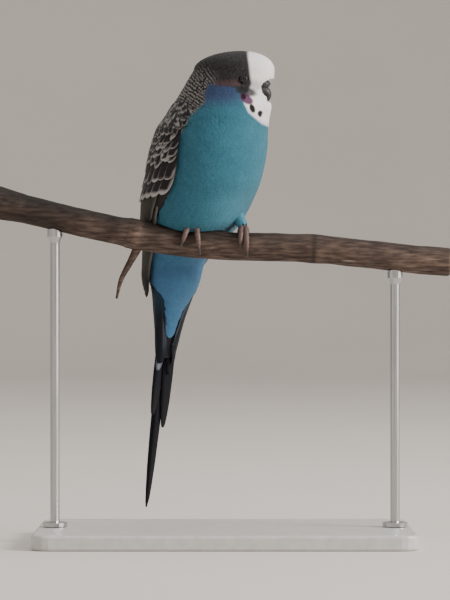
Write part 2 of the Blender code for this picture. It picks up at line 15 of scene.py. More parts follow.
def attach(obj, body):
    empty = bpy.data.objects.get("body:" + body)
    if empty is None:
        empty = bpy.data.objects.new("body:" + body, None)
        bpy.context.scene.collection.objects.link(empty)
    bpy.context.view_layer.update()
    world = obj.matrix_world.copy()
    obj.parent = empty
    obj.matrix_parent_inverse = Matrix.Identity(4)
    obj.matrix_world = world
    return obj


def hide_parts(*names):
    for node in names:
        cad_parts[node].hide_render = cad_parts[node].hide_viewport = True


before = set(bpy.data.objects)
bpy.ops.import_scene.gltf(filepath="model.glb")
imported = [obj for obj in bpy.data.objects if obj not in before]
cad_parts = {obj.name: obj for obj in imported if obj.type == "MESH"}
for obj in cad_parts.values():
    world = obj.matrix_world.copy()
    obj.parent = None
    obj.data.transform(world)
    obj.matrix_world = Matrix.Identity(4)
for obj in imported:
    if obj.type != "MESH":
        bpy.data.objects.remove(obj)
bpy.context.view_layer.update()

MM = 0.001
SEED = 7
chance = np.random.default_rng(SEED)

# Body sections: height, centre x, centre y, half depth, half width, direction the front faces
BODY = (
    (72.0, -24.7, 25.6, 1.5, 3.6, 50), (80.4, -23.7, 24.4, 2.6, 5.4, 50),
    (87.0, -22.9, 23.5, 3.6, 6.6, 50), (93.6, -22.1, 22.5, 5.4, 8.2, 50),
    (100.0, -21.0, 21.2, 7.5, 9.7, 50), (106.4, -20.4, 20.5, 9.6, 11.3, 50),
    (112.0, -19.6, 19.5, 10.6, 12.0, 50), (118.0, -17.2, 16.7, 13.6, 14.2, 50),
    (124.0, -14.2, 13.1, 17.2, 17.0, 50), (128.0, -12.8, 11.4, 19.8, 18.7, 50),
    (135.2, -10.8, 9.0, 22.0, 20.6, 50), (144.8, -7.8, 5.5, 23.5, 21.2, 50),
    (156.8, -5.6, 2.9, 23.6, 21.6, 50), (164.0, -4.7, 1.2, 22.6, 20.8, 42),
    (168.8, -3.2, -1.0, 21.3, 19.2, 30), (173.6, -1.6, -3.6, 20.2, 16.2, 13),
    (177.0, -0.6, -5.4, 18.6, 13.6, 6), (180.8, 0.5, -7.0, 17.3, 12.0, 4),
    (184.4, 2.3, -8.0, 17.0, 11.0, 4), (188.0, 3.6, -8.6, 16.0, 10.5, 4),
)
CROWN_TOP = 195.6
CROWN_X = 5.6
CROWN_Y = -9.0
CHEST_YAW = 50

# Face, placed by forward and sideways distance from the head's upright axis
FACE_AXIS = (3.0, -8.2)
FACE_YAW = 4
EYE_FORWARD = 6.4
EYE_HEIGHT = 183.8
EYE_RADIUS = 2.3
EYE_DEPTH = 1.75
EYE_OPENING = 0.98
LID_THICKNESS = 0.19
CERE_CENTRE = (12.4, 182.5)
CERE_SIZE = (2.6, 3.0, 1.9)
NOSTRIL_SIDE = 1.25
UPPER_BILL = ((9.6, 179.9, 2.2, 2.7), (11.6, 180.0, 2.1, 2.6), (13.2, 179.4, 1.9, 2.2),
              (14.1, 178.3, 1.4, 1.7), (14.3, 177.1, 0.9, 1.1), (14.0, 175.8, 0.35, 0.4))
LOWER_BILL = ((9.4, 176.6, 1.1, 2.1), (10.8, 176.5, 1.0, 1.9), (12.0, 176.2, 0.8, 1.3),
              (12.7, 175.9, 0.4, 0.6))
HOLLOW_CENTRE = (16.0, 180.9)
HOLLOW_SIZE = (6.4, 7.0, 3.4)
HOLLOW_EDGE = 0.7

# Wing: height with the angles of its front and spine edges
WING_EDGES = ((97, 134, 150), (104, 126, 155), (112, 121, 160), (120, 114, 164), (128, 99, 166),
              (135, 81, 166), (145, 76, 163), (157, 76.5, 156), (165, 79, 144), (169, 84, 132),
              (172.6, 95, 113))
WING_TOP = 172.6
WING_LOW = 120.0

# Tail, in its own frame: pairs from the long middle feathers out to the short outer ones,
# for the bird's right side, 1, and its left, -1
TAIL_TOP = (-19.9, 19.9, 112.0)
TAIL_DROP = (-0.1185, 0.1412, -1.0)
TAIL_ROOT = 14.0
TAIL_TIPS = {1: (102.6, 64.0, 45.0, 35.0, 27.5, 21.0), -1: (100.9, 69.3, 46.5, 35.0, 27.5, 21.0)}
TAIL_HALF_WIDTHS = (2.0, 2.9, 3.1, 3.1, 3.0, 2.8)
TAIL_SPREAD = {1: (1.0, 2.2, 2.8, 3.3, 3.9, 4.5), -1: (0.6, 3.6, 3.0, 3.3, 3.9, 4.5)}
TAIL_LAYER = 0.42
TAIL_BACK = 2.2

# Perch, legs and feet
PERCH_PATH = ((-92, 135.8), (-80, 133.2), (-60, 128.4), (-42, 124.4), (-20, 120.2), (0, 118.4),
              (22, 117.8), (40, 117.0), (60, 114.8), (76, 113.0), (90, 112.0))
PERCH_RADIUS = 5.7
PERCH_FLARE = 1.3
PERCH_SWELLS = ((-36.0, 0.6, 4.5), (35.5, 0.35, 4.0))
TWIG_PATH = ((-33.5, 0, 121.5), (-35.8, -0.5, 116), (-38.4, -0.8, 111), (-41.6, -0.5, 104.8),
             (-43.4, 0.5, 97.4))
TWIG_RADII = (2.4, 1.7, 1.3, 0.95, 0.45)
FOOT_PLACES = {"R": -12.6, "L": 7.4}
LEG_TOPS = {"R": (-14.5, 7.0, 135.0), "L": (2.2, 5.0, 136.0)}
LEG_RADII = (1.35, 2.0, 3.1)
FOOT_PAD = (2.0, 2.1, 1.15)
TOE_RADII = (1.15, 1.1, 1.05, 1.0, 0.95, 0.85)
CLAW_RADII = (0.5, 0.34, 0.12)
TOE_SIDES = 20
# Shares of a toe's length where its skin ends and its claw starts
TOE_END = 0.76
CLAW_START = 0.68
# Feathers of the tops of the legs: half width, shortest and longest, rows
TUFT_WIDTH = 0.8
TUFT_LENGTHS = (2.8, 3.8)
TUFT_ROWS = 9
TOES = {
    "R": ((0.9, 2.8, 132), (-0.9, -5.4, 116), (1.0, 2.6, -128), (-0.9, -2.4, -92)),
    "L": ((0.8, 1.6, 132), (-0.8, -1.4, 104), (1.0, 2.6, -128), (-0.9, -2.4, -92)),
}

# Depth of the coat on the face and on the body
FACE_COAT = 0.55
BODY_COAT = 1.0
PERCH_CLEAR = 0.35
BAKE_PATCH = 0.003
# Distance between barbs, and how far the bark's streaks are drawn out along the branch
BARB_PITCH = 0.22
BARK_STRETCH = (0.16, 1.0, 1.0)

# Colours of the plumage and of its painted shade, linear
WHITE = (0.80, 0.78, 0.76)
LAVENDER = (0.46, 0.45, 0.62)
# Painted shade on the white face
FACE_SHADE_GREY = (0.26, 0.26, 0.27)
BLUE = (0.031, 0.135, 0.190)
BLUE_DEEP = (0.018, 0.080, 0.130)
BLUE_LIGHT = (0.095, 0.300, 0.400)
VENT_BLUE = (0.045, 0.130, 0.260)
# Painted shade of the neck under the head
NECK_SHADE_BLUE = (0.036, 0.046, 0.115)
RUSSET = (0.066, 0.040, 0.043)
BLACK = (0.010, 0.009, 0.010)
BAR_DARK = (0.017, 0.016, 0.017)
CROWN_LIGHT = (0.036, 0.035, 0.035)
NAPE_LIGHT = (0.250, 0.240, 0.232)
WING_PALE = (0.380, 0.362, 0.352)
WING_DARK = (0.016, 0.012, 0.014)
OLIVE = (0.045, 0.043, 0.034)
NAVY = (0.005, 0.006, 0.011)
SHEEN = (0.022, 0.018, 0.026)
TAIL_PALE = (0.180, 0.210, 0.260)
VIOLET = (0.085, 0.014, 0.066)


def smooth(low, high, value):
    """0 below low, 1 above high, and an even ramp between them."""
    t = np.clip((value - low) / (high - low), 0, 1)
    return t * t * (3 - 2 * t)


def blend(first, second, share):
    """Mix two colours, or arrays of colours, by a share for each point."""
    share = np.asarray(share)[..., None]
    return np.asarray(first) * (1 - share) + np.asarray(second) * share


def unit(vectors):
    return vectors / np.maximum(np.linalg.norm(vectors, axis=-1, keepdims=True), 1e-9)


def interpolate(rows, at, column):
    """Smooth value of one column of rows at each height, by a cubic through the rows."""
    table = np.array(rows, float)
    heights, values = table[:, 0], table[:, column]
    at = np.clip(at, heights[0], heights[-1])
    k = np.clip(np.searchsorted(heights, at, side="right") - 1, 0, len(rows) - 2)
    low = np.maximum(np.arange(len(rows)) - 1, 0)
    high = np.minimum(np.arange(len(rows)) + 1, len(rows) - 1)
    slopes = (values[high] - values[low]) / (heights[high] - heights[low])
    span = heights[k + 1] - heights[k]
    limit = 3 * np.abs((values[k + 1] - values[k]) / span)
    start = np.clip(slopes[k], -limit, limit)
    end = np.clip(slopes[k + 1], -limit, limit)
    t = (at - heights[k]) / span
    return ((2 * t**3 - 3 * t**2 + 1) * values[k] + (t**3 - 2 * t**2 + t) * span * start
            + (3 * t**2 - 2 * t**3) * values[k + 1] + (t**3 - t**2) * span * end)


def section(height):
    """Centre, half sizes and front direction of the body at each height, and the crown's rise."""
    height = np.asarray(height, float)
    x, y, depth, width, yaw = (interpolate(BODY, height, column) for column in range(1, 6))
    top = BODY[-1][0]
    rise = np.maximum((height - top) / (CROWN_TOP - top), 0)
    x = x + (CROWN_X - x) * rise**2
    y = y + (CROWN_Y - y) * rise**2
    return x, y, depth, width, yaw, rise


def directions(yaw):
    """The forward direction and the bird's right for fronts that face this way."""
    angle = np.radians(yaw)
    forward = np.stack([np.cos(angle), -np.sin(angle), np.zeros_like(angle)], -1)
    right = np.stack([-np.sin(angle), -np.cos(angle), np.zeros_like(angle)], -1)
    return forward, right


def skin_point(height, angle):
    """Point of the body's surface, its angle measured from the section's own front."""
    x, y, depth, width, yaw, rise = section(height)
    shrink = np.sqrt(np.maximum(1 - rise**2, 0))
    forward, right = directions(yaw)
    turn = np.radians(angle)
    centre = np.stack([x, y, height + 0 * x], -1)
    return (centre + forward * (depth * shrink * np.cos(turn))[..., None]
            + right * (width * shrink * np.sin(turn))[..., None])


def lifted(height, angle, lift):
    """Point above the body's surface, its angle measured from the breastbone of the torso."""
    height, angle, lift = np.broadcast_arrays(height, angle, lift)
    local = angle + CHEST_YAW - section(height)[4]
    step = 0.5
    around = skin_point(height, local + step) - skin_point(height, local - step)
    up = skin_point(height + step, local) - skin_point(height - step, local)
    return skin_point(height, local) + unit(np.cross(up, around)) * lift[..., None]


FACE_ORIGIN = np.array([*FACE_AXIS, 0.0])
FACE_FORWARD, FACE_RIGHT = directions(np.array(float(FACE_YAW)))
DOWN_TAIL = unit(np.array(TAIL_DROP))
UP = np.array([0, 0, 1.0])
ALONG_PERCH = np.array([1.0, 0, 0])


def face_point(forward_by, right_by, height):
    return FACE_ORIGIN + FACE_FORWARD * forward_by + FACE_RIGHT * right_by + UP * height


def face_place(points):
    """Forward, sideways and upward distances of points from the head's axis."""
    offset = points - FACE_ORIGIN
    return offset @ FACE_FORWARD, offset @ FACE_RIGHT, points[..., 2]


def perch_height(x):
    return interpolate(PERCH_PATH, x, 1)


def perch_radius(x):
    flare = np.maximum(0.0, (-80 - x) / 12)
    swell = sum(height * np.exp(-((x - place) / half) ** 2) for place, height, half in PERCH_SWELLS)
    return PERCH_RADIUS + PERCH_FLARE * flare + swell


def clear_of_perch(points, gap=PERCH_CLEAR):
    """Push points straight out of the perch, away from its axis."""
    x, y, z = points[..., 0], points[..., 1], points[..., 2]
    rise = z - perch_height(x)
    far = np.maximum(np.hypot(y, rise), 1e-6)
    need = perch_radius(x) + gap
    grow = np.where(far < need, need / far, 1.0)
    return np.stack([x, y * grow, perch_height(x) + rise * grow], -1)


def place_in_section(points):
    """Forward and sideways places as shares of the section's half sizes, and the section."""
    x, y, depth, width, yaw, rise = section(points[..., 2])
    forward, right = directions(yaw)
    dx, dy = points[..., 0] - x, points[..., 1] - y
    ahead = (dx * forward[..., 0] + dy * forward[..., 1]) / depth
    aside = (dx * right[..., 0] + dy * right[..., 1]) / width
    return ahead, aside, depth, width, yaw, rise


def body_field(points):
    """About how far each point lies outside the body, in millimetres, with the bill's hollow."""
    ahead, aside, depth, width, _, rise = place_in_section(points)
    trunk = (np.sqrt(ahead**2 + aside**2 + rise**2) - 1) * (depth + width) / 2
    f, r, h = face_place(points)
    reach = np.sqrt(((f - HOLLOW_CENTRE[0]) / HOLLOW_SIZE[0]) ** 2 + (r / HOLLOW_SIZE[1]) ** 2
                    + ((h - HOLLOW_CENTRE[1]) / HOLLOW_SIZE[2]) ** 2)
    hollow = (1 - reach) * HOLLOW_SIZE[2]
    share = np.clip(0.5 + 0.5 * (trunk - hollow) / HOLLOW_EDGE, 0, 1)
    return hollow * (1 - share) + trunk * share + HOLLOW_EDGE * share * (1 - share)


def body_slope(points, value):
    step = 0.02
    moves = np.eye(3) * step
    return np.stack([(body_field(points + move) - value) / step for move in moves], -1)


def settle(points, lift):
    """Bring points to a height above the body's surface, and give the surface's normals."""
    for _ in range(3):
        value = body_field(points)
        slope = body_slope(points, value)
        points = points - slope * (value / np.maximum((slope**2).sum(-1), 0.05))[..., None]
    normal = unit(body_slope(points, body_field(points)))
    return points + normal * np.asarray(lift)[..., None], normal


def laid(directions_at, points):
    """Directions made level with the body's surface at each point, and its normals there."""
    _, normal = settle(points, np.zeros(len(points)))
    return unit(directions_at - normal * (directions_at * normal).sum(-1, keepdims=True)), normal


def body_angle(points):
    """Angle of points round the body, from the torso's breastbone, between -180 and 180."""
    ahead, aside, _, _, yaw, _ = place_in_section(points)
    return (np.degrees(np.arctan2(aside, ahead)) + yaw - CHEST_YAW + 180) % 360 - 180


def own_angle(points):
    """Angle of points from the front of their own section, without its sign."""
    ahead, aside, _, _, _, _ = place_in_section(points)
    return np.abs(np.degrees(np.arctan2(aside, ahead)))


def unwrap(points):
    """Place of each point on an unwrap of the body: round it, and up it."""
    low, high = BODY[0][0], CROWN_TOP
    return np.stack([0.02 + 0.96 * (body_angle(points) + 180) / 360,
                     0.02 + 0.96 * (points[..., 2] - low + 40) / (high - low + 40)], -1)


def make_mesh(name, points, faces, material, uvs=None, layers=None):
    """Object from arrays of points in millimetres and of four-cornered faces.

    uvs and layers hold a value for each point: flat maps and colours by name.
    """
    points = np.asarray(points, float).reshape(-1, 3) * MM
    faces = np.asarray(faces, np.int32).reshape(-1, 4)
    mesh = bpy.data.meshes.new(name)
    mesh.vertices.add(len(points))
    mesh.vertices.foreach_set("co", points.astype(np.float32).ravel())
    mesh.loops.add(faces.size)
    mesh.loops.foreach_set("vertex_index", faces.ravel())
    mesh.polygons.add(len(faces))
    mesh.polygons.foreach_set("loop_start", np.arange(0, faces.size, 4, dtype=np.int32))
    mesh.polygons.foreach_set("use_smooth", np.full(len(faces), True))
    mesh.update(calc_edges=True)
    for layer, values in (uvs or {}).items():
        made = mesh.uv_layers.new(name=layer)
        values = np.asarray(values, np.float32).reshape(-1, 2)
        made.data.foreach_set("uv", values[faces.ravel()].ravel())
    for layer, values in (layers or {}).items():
        made = mesh.attributes.new(layer, "FLOAT_COLOR", "POINT")
        values = np.asarray(values, np.float32).reshape(-1, 3)
        made.data.foreach_set("color", np.c_[values, np.ones(len(values), np.float32)].ravel())
    mesh.validate()
    mesh.materials.append(material)
    made = bpy.data.objects.new(name, mesh)
    bpy.context.scene.collection.objects.link(made)
    return made


def grid_faces(rows, columns):
    """Faces of a grid of points, closed round its columns."""
    i, j = np.meshgrid(np.arange(rows - 1), np.arange(columns), indexing="ij")
    k = (j + 1) % columns
    return np.stack([i * columns + j, i * columns + k, (i + 1) * columns + k, (i + 1) * columns + j],
                    -1).reshape(-1, 4)


def cap_faces(ring):
    """Four-cornered faces that close an even ring of point numbers."""
    half = len(ring) // 2
    return [(ring[i], ring[i + 1], ring[-2 - i], ring[-1 - i]) for i in range(half - 1)]


def tube_faces(rows, columns):
    first = list(range(columns))
    last = [(rows - 1) * columns + k for k in range(columns)]
    return np.concatenate([grid_faces(rows, columns), np.array(cap_faces(first[::-1])),
                           np.array(cap_faces(last))])


# Feather shapes: place along the vane and half width there
CONTOUR = ((0.0, 0.35), (0.35, 0.85), (0.62, 1.0), (0.82, 0.88), (0.94, 0.55), (1.0, 0.16))
REMEX = ((0.0, 0.55), (0.2, 0.85), (0.45, 1.0), (0.68, 1.0), (0.84, 0.92), (0.93, 0.72), (0.98, 0.42),
         (1.0, 0.14))
RECTRIX = ((0.0, 0.5), (0.12, 0.8), (0.3, 1.0), (0.5, 1.0), (0.68, 0.92), (0.82, 0.78), (0.92, 0.58),
           (0.975, 0.40), (1.0, 0.20))
# Ring of points round a vane: place across, and share of the thickness
RING = ((-1.0, 0.0), (-0.5, 0.5), (0.0, 0.75), (0.5, 0.5), (1.0, 0.0), (0.0, -0.5))
RING_ACROSS, RING_HEIGHT = np.array(RING).T
CONTOUR_THICKNESS = 0.05
CONTOUR_CAMBER = 0.02
CONTOUR_BASE = 0.4


def feathers(name, points, roots, shape, lengths, widths, colours, material, slot=None):
    """One mesh of many closed vanes, with sharp rims, so that their faces shade smoothly.

    The bake map holds a small patch for each vane at its root's place on the unwrap of the
    skin. The other map runs along and across the vane in millimetres.
    """
    count, stations, ring = points.shape[:3]
    along = np.array(shape)[:, 0]
    patch = np.stack(np.broadcast_arrays(RING_ACROSS * 0.45, along[:, None] - 0.5), -1)
    flat = np.zeros((count, stations, ring))
    vane = np.stack([RING_ACROSS * widths[:, None, None] + flat,
                     along[:, None] * lengths[:, None, None] + flat], -1)
    uvs = {"OFBake": unwrap(roots)[:, None, None, :] + patch * BAKE_PATCH, "Vane": vane}
    made = make_mesh(name, points, vane_faces(count, stations), material, uvs=uvs,
                     layers={"Markings": colours})
    ends = np.empty(len(made.data.edges) * 2, np.int32)
    made.data.edges.foreach_get("vertices", ends)
    row, place = np.divmod(ends.reshape(-1, 2), ring)
    rim = (place[:, 0] == place[:, 1]) & (np.abs(RING_ACROSS[place[:, 0]]) == 1)
    tip = (row % stations == stations - 1).all(1)
    made.data.attributes.new("sharp_edge", "BOOLEAN", "EDGE").data.foreach_set("value", rim | tip)
    return ride(made, slot or material.name.split(".")[0])


def tube(name, points, material, slot, *replaced, **maps):
    """Closed piece from rings of points that follow one another."""
    return ride(make_mesh(name, points, tube_faces(*points.shape[:2]), material, **maps), slot, *replaced)


def ride(piece, slot, *replaced):
    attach(piece, "root")
    if replaced:
        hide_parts(*replaced)
    return piece


def vane_faces(count, stations):
    """Faces of many vanes whose rings follow one another."""
    starts = np.arange(count) * stations * len(RING)
    return (tube_faces(stations, len(RING))[None] + starts[:, None, None]).reshape(-1, 4)


def along_vanes(shape, count):
    """Place along and across the vane of each of its points, for its markings."""
    full = np.zeros((count, len(shape), len(RING)))
    return np.array(shape)[:, :1] + full, RING_ACROSS + full


def contour_vanes(roots, lie, lengths, widths, sunk, tip, shingle):
    """Small body feathers from their roots, each bent to the body's surface along its lie.

    sunk and tip are the heights of the roots and the tips over the surface. Past the hidden
    base a feather rises by the shingle only, so that the coat stays smooth.
    """
    along, outline = np.array(CONTOUR).T
    lie, normal = laid(lie, roots)
    side = np.cross(normal, lie)
    across = RING_ACROSS * outline[:, None] * widths[:, None, None]
    flat = (roots[:, None, None, :] + lie[:, None, None, :] * (along * lengths[:, None])[:, :, None, None]
            + side[:, None, None, :] * across[..., None])
    base = sunk[:, None] + (tip - shingle - sunk)[:, None] * smooth(0, CONTOUR_BASE, along)
    height = base + shingle * np.clip((along - CONTOUR_BASE) / (1 - CONTOUR_BASE), 0, 1)
    camber = CONTOUR_CAMBER * widths[:, None, None] * (1 - RING_ACROSS**2) * np.sqrt(along)[:, None]
    points, _ = settle(flat, height[:, :, None] + camber + CONTOUR_THICKNESS * RING_HEIGHT)
    return clear_of_perch(points)


def folded_feathers(name, side, places, shape, material, marks, thickness=0.16, camber=0.08, slot=None,
                    lengths=None):
    """Feathers laid along the body on the bird's right, 1, or left, -1.

    places holds their roots and tips, each a height and an angle, their half widths, and the
    heights of roots and tips over the surface. marks gives their colours. lengths stand in for
    the vanes' own lengths on their map.
    """
    roots, tips, widths, lifts = places
    along, outline = np.array(shape).T[:, :, None]
    height = roots[:, 0, None, None] + (tips[:, 0] - roots[:, 0])[:, None, None] * along
    angle = roots[:, 1, None, None] + (tips[:, 1] - roots[:, 1])[:, None, None] * along
    lift = lifts[:, 0, None, None] + (lifts[:, 1] - lifts[:, 0])[:, None, None] * along
    _, _, depth, width, _, _ = section(height)
    spread = np.degrees(widths[:, None, None] * RING_ACROSS * outline / ((depth + width) / 2 + lift))
    rise = lift + camber * widths[:, None, None] * (1 - RING_ACROSS**2) + thickness * RING_HEIGHT
    points = clear_of_perch(lifted(np.broadcast_to(height, rise.shape), side * (angle + spread), rise))
    start = lifted(roots[:, 0], side * roots[:, 1], lifts[:, 0])
    if lengths is None:
        lengths = np.linalg.norm(points[:, -1, 2] - points[:, 0, 2], axis=-1)
    t, c = along_vanes(shape, len(roots))
    return feathers(name, points, start, shape, lengths, widths, marks(points, t, side * c), material, slot)


# Node materials

def new_material(name, roughness, sheen, specular, metallic=0.0):
    made = bpy.data.materials.new(name)
    made.use_nodes = True
    shader = made.node_tree.nodes["Principled BSDF"]
    shader.inputs["Roughness"].default_value = roughness
    shader.inputs["Metallic"].default_value = metallic
    shader.inputs["Specular IOR Level"].default_value = specular
    shader.inputs["Sheen Weight"].default_value = sheen
    shader.inputs["Sheen Roughness"].default_value = 0.5
    return made, made.node_tree, shader


def node(tree, kind, inputs=None, **settings):
    """New node. inputs holds a value, or the output of another node, for each socket."""
    made = tree.nodes.new(kind)
    for name, value in settings.items():
        setattr(made, name, value)
    for socket, value in (inputs or {}).items():
        if isinstance(value, bpy.types.NodeSocket):
            tree.links.new(value, made.inputs[socket])
        else:
            made.inputs[socket].default_value = value
    return made


def object_place(tree, stretch=(1, 1, 1)):
    """Place in the object's own space. Patterns are drawn out where the stretch is small."""
    place = node(tree, "ShaderNodeTexCoord").outputs["Object"]
    return node(tree, "ShaderNodeMapping", {"Vector": place, "Scale": stretch}).outputs["Vector"]


def noise_at(tree, scale, detail=3.0, stretch=(1, 1, 1)):
    inputs = {"Vector": object_place(tree, stretch), "Scale": scale, "Detail": detail}
    return node(tree, "ShaderNodeTexNoise", inputs).outputs["Fac"]


def ramp(tree, source, *stops):
    """Colour that runs through the stops, each a place and a colour."""
    made = node(tree, "ShaderNodeValToRGB", {"Fac": source})
    for i, (place, colour) in enumerate(stops):
        stop = made.color_ramp.elements[i] if i < 2 else made.color_ramp.elements.new(place)
        stop.position = place
        stop.color = (*colour, 1)
    return made.outputs["Color"]


def mix(tree, kind, share, first, second):
    inputs = {0: share, 6: first, 7: second}
    return node(tree, "ShaderNodeMix", inputs, data_type="RGBA", blend_type=kind).outputs[2]


def calculate(tree, operation, *values):
    return node(tree, "ShaderNodeMath", dict(enumerate(values)), operation=operation).outputs[0]


def finish_shader(tree, shader, colour, relief, strength, distance):
    """Link the colour and a fine relief to the shader."""
    tree.links.new(colour, shader.inputs["Base Color"])
    bump = node(tree, "ShaderNodeBump", {"Strength": strength, "Distance": distance, "Height": relief})
    tree.links.new(bump.outputs["Normal"], shader.inputs["Normal"])


# The colour attribute holds the markings together with painted shade and painted light.
def markings_and_shading(tree):
    return node(tree, "ShaderNodeAttribute", attribute_name="Markings").outputs["Color"]


def plumage(name, roughness, sheen, barbs):
    """Feather finish: the markings with their painted shading, varied a little, with fine barbs that run out
    from the shaft.
    """
    made, tree, shader = new_material(name, roughness, sheen, 0.15)
    tone = ramp(tree, noise_at(tree, 160), (0.3, (0.78, 0.79, 0.80)), (0.7, (1.14, 1.13, 1.12)))
    tinted = mix(tree, "MULTIPLY", 0.35, markings_and_shading(tree), tone)
    vane = node(tree, "ShaderNodeUVMap", uv_map="Vane").outputs["UV"]
    place = node(tree, "ShaderNodeSeparateXYZ", {0: vane})
    away = calculate(tree, "ABSOLUTE", place.outputs["X"])
    slant = calculate(tree, "SUBTRACT", away, place.outputs["Y"])
    wave = calculate(tree, "SINE", calculate(tree, "MULTIPLY", slant, 2 * math.pi / BARB_PITCH))
    barb = ramp(tree, wave, (0.0, (0.86, 0.86, 0.87)), (0.6, (1.0, 1.0, 1.0)))
    finish_shader(tree, shader, mix(tree, "MULTIPLY", barbs, tinted, barb), wave, 0.25, 0.00006)
    return made


def skin_material():
    made, tree, shader = new_material("skin", 0.8, 0.2, 0.2)
    down = noise_at(tree, 900)
    shade = ramp(tree, down, (0.3, (0.55, 0.55, 0.57)), (0.7, (1.0, 1.0, 1.0)))
    finish_shader(tree, shader, mix(tree, "MULTIPLY", 0.8, markings_and_shading(tree), shade), down, 0.4, 0.0004)
    return made


def mottled(name, roughness, dark, light, scale, relief, specular=0.4, stretch=(1, 1, 1), metallic=0.0,
            spread=(0.3, 0.7)):
    """Finish with a mottled colour and a fine grain."""
    made, tree, shader = new_material(name, roughness, 0.0, specular, metallic)
    grain = noise_at(tree, scale, 4.0, stretch)
    finish_shader(tree, shader, ramp(tree, grain, (spread[0], dark), (spread[1], light)), grain, 0.5, relief)
    return made


def bark_material():
    """Streaked brown bark with pale specks, painted shade on top and along the branch, and a pale ring at the
    node.
    """
    made, tree, shader = new_material("bark", 0.75, 0.0, 0.3)
    streaks = noise_at(tree, 900, 8, BARK_STRETCH)
    base = ramp(tree, streaks, (0.32, (0.036, 0.023, 0.018)), (0.50, (0.090, 0.060, 0.047)),
                (0.70, (0.165, 0.118, 0.094)))
    patch = ramp(tree, noise_at(tree, 70, 5), (0.35, (0.60, 0.58, 0.58)), (0.65, (1.30, 1.26, 1.22)))
    colour = mix(tree, "MULTIPLY", 0.9, base, patch)
    # Painted shade: bark that faces up is darkened, so that the underside looks lit from below.
    normal = node(tree, "ShaderNodeNewGeometry").outputs["Normal"]
    up = node(tree, "ShaderNodeSeparateXYZ", {0: normal}).outputs["Z"]
    top = ramp(tree, up, (0.1, (1.0, 1.0, 1.0)), (0.8, (0.42, 0.40, 0.39)))
    colour = mix(tree, "MULTIPLY", 1.0, colour, top)
    specks = node(tree, "ShaderNodeTexVoronoi", {"Vector": object_place(tree, BARK_STRETCH), "Scale": 130})
    dots = ramp(tree, specks.outputs["Distance"], (0.05, (1, 1, 1)), (0.09, (0, 0, 0)))
    colour = mix(tree, "MIX", dots, colour, (0.26, 0.20, 0.17, 1))
    # Painted shade along the branch, and its pale and dark rings, come from the mesh's colours.
    colour = mix(tree, "MULTIPLY", 1.0, colour, markings_and_shading(tree))
    finish_shader(tree, shader, colour, streaks, 0.5, 0.0003)
    return made


# Markings and painted shading, shared by skin and coat

BILL_BASE = face_point(12.0, 0.0, 179.6)
# Edges of the markings of the head: height, or forward distance, with the edge there
FOREHEAD = ((176.0, 179.0, 182.0, 184.2, 189.7, 194.4), (4.8, 6.8, 8.2, 7.9, 7.3, 6.5))
WHITE_EDGE = ((3.4, 4.5, 6.8, 11.6, 16.0), (178.6, 175.4, 170.6, 166.6, 165.0))
HOOD_EDGE = ((-16.0, -10.0, -3.0, 2.0, 5.5), (182.4, 181.8, 181.4, 180.2, 178.6))
MANTLE_EDGE = ((150.0, 156.0, 160.0, 164.0, 167.0, 170.0, 175.0, 178.0, 182.0, 186.0),
               (108, 95, 82, 84, 90, 96, 103, 112, 113, 150))
# Bars of crown and nape: forward distance and height of the place they turn about, their reach
# from it, where they start, how many there are and how fast they widen
BARS_CENTRE = (12, 158)
BARS_RADIUS = 35
BARS_START = 6
BARS_COUNT = 80
BARS_WIDENING = 0.0145
# Spots and patches of the cheek: forward distance, height, half sizes, tilt
SPOTS = ((8.4, 172.3, 1.0, 1.8, 20), (11.4, 170.4, 1.05, 1.3, 0), (5.0, 177.0, 0.85, 1.2, 20))
CHEEK = (6.1, 176.0, 2.9, 1.7, -35)
CHEEK_TOP = (6.0, 178.9, 4.0, 1.7, -12)


def patch_share(f, h, patch, soft):
    """How much each place lies in a tilted oval of the side of the head."""
    ahead, height, wide, tall, tilt = patch
    turn = math.radians(tilt)
    u = (f - ahead) * math.cos(turn) + (h - height) * math.sin(turn)
    v = (h - height) * math.cos(turn) - (f - ahead) * math.sin(turn)
    return smooth(1 + soft, 1 - soft, np.hypot(u / wide, v / tall))


def mask_share(points):
    """How much each place of the head belongs to the white of the forehead and face."""
    f, _, h = face_place(points)
    ahead = smooth(-0.8, 0.6, f - np.interp(h, *FOREHEAD))
    return ahead * smooth(-0.5, 0.6, h - np.interp(f, *WHITE_EDGE))


def barred_share(points):
    """How much each place belongs to the barred hood, nape and mantle."""
    f, _, h = face_place(points)
    hood = smooth(-0.5, 0.8, h - np.interp(f, *HOOD_EDGE)) * smooth(9.0, 8.0, f)
    back = smooth(-4, 4, own_angle(points) - np.interp(h, *MANTLE_EDGE)) * smooth(134, 142, h)
    return np.maximum(hood, back)


def bars_at(points, shift=0.0):
    """Pale share of the fine wavy bars, finest on the crown and wider down the nape."""
    f, r, h = face_place(points)
    turn = math.pi / 2 - np.arctan2(h - BARS_CENTRE[1], BARS_CENTRE[0] - f)
    far = np.maximum(BARS_RADIUS * turn - BARS_START, -20)
    phase = BARS_COUNT * np.log(1 + BARS_WIDENING * far)
    wobble = 0.17 * np.sin(0.9 * r + 0.7 * h) + 0.15 * np.sin(1.3 * f - 1.1 * r + 2)
    wobble = wobble + 0.10 * np.sin(2.3 * r - 0.9 * h)
    return smooth(0.15, 0.75, np.sin(2 * math.pi * (phase + wobble + shift)))


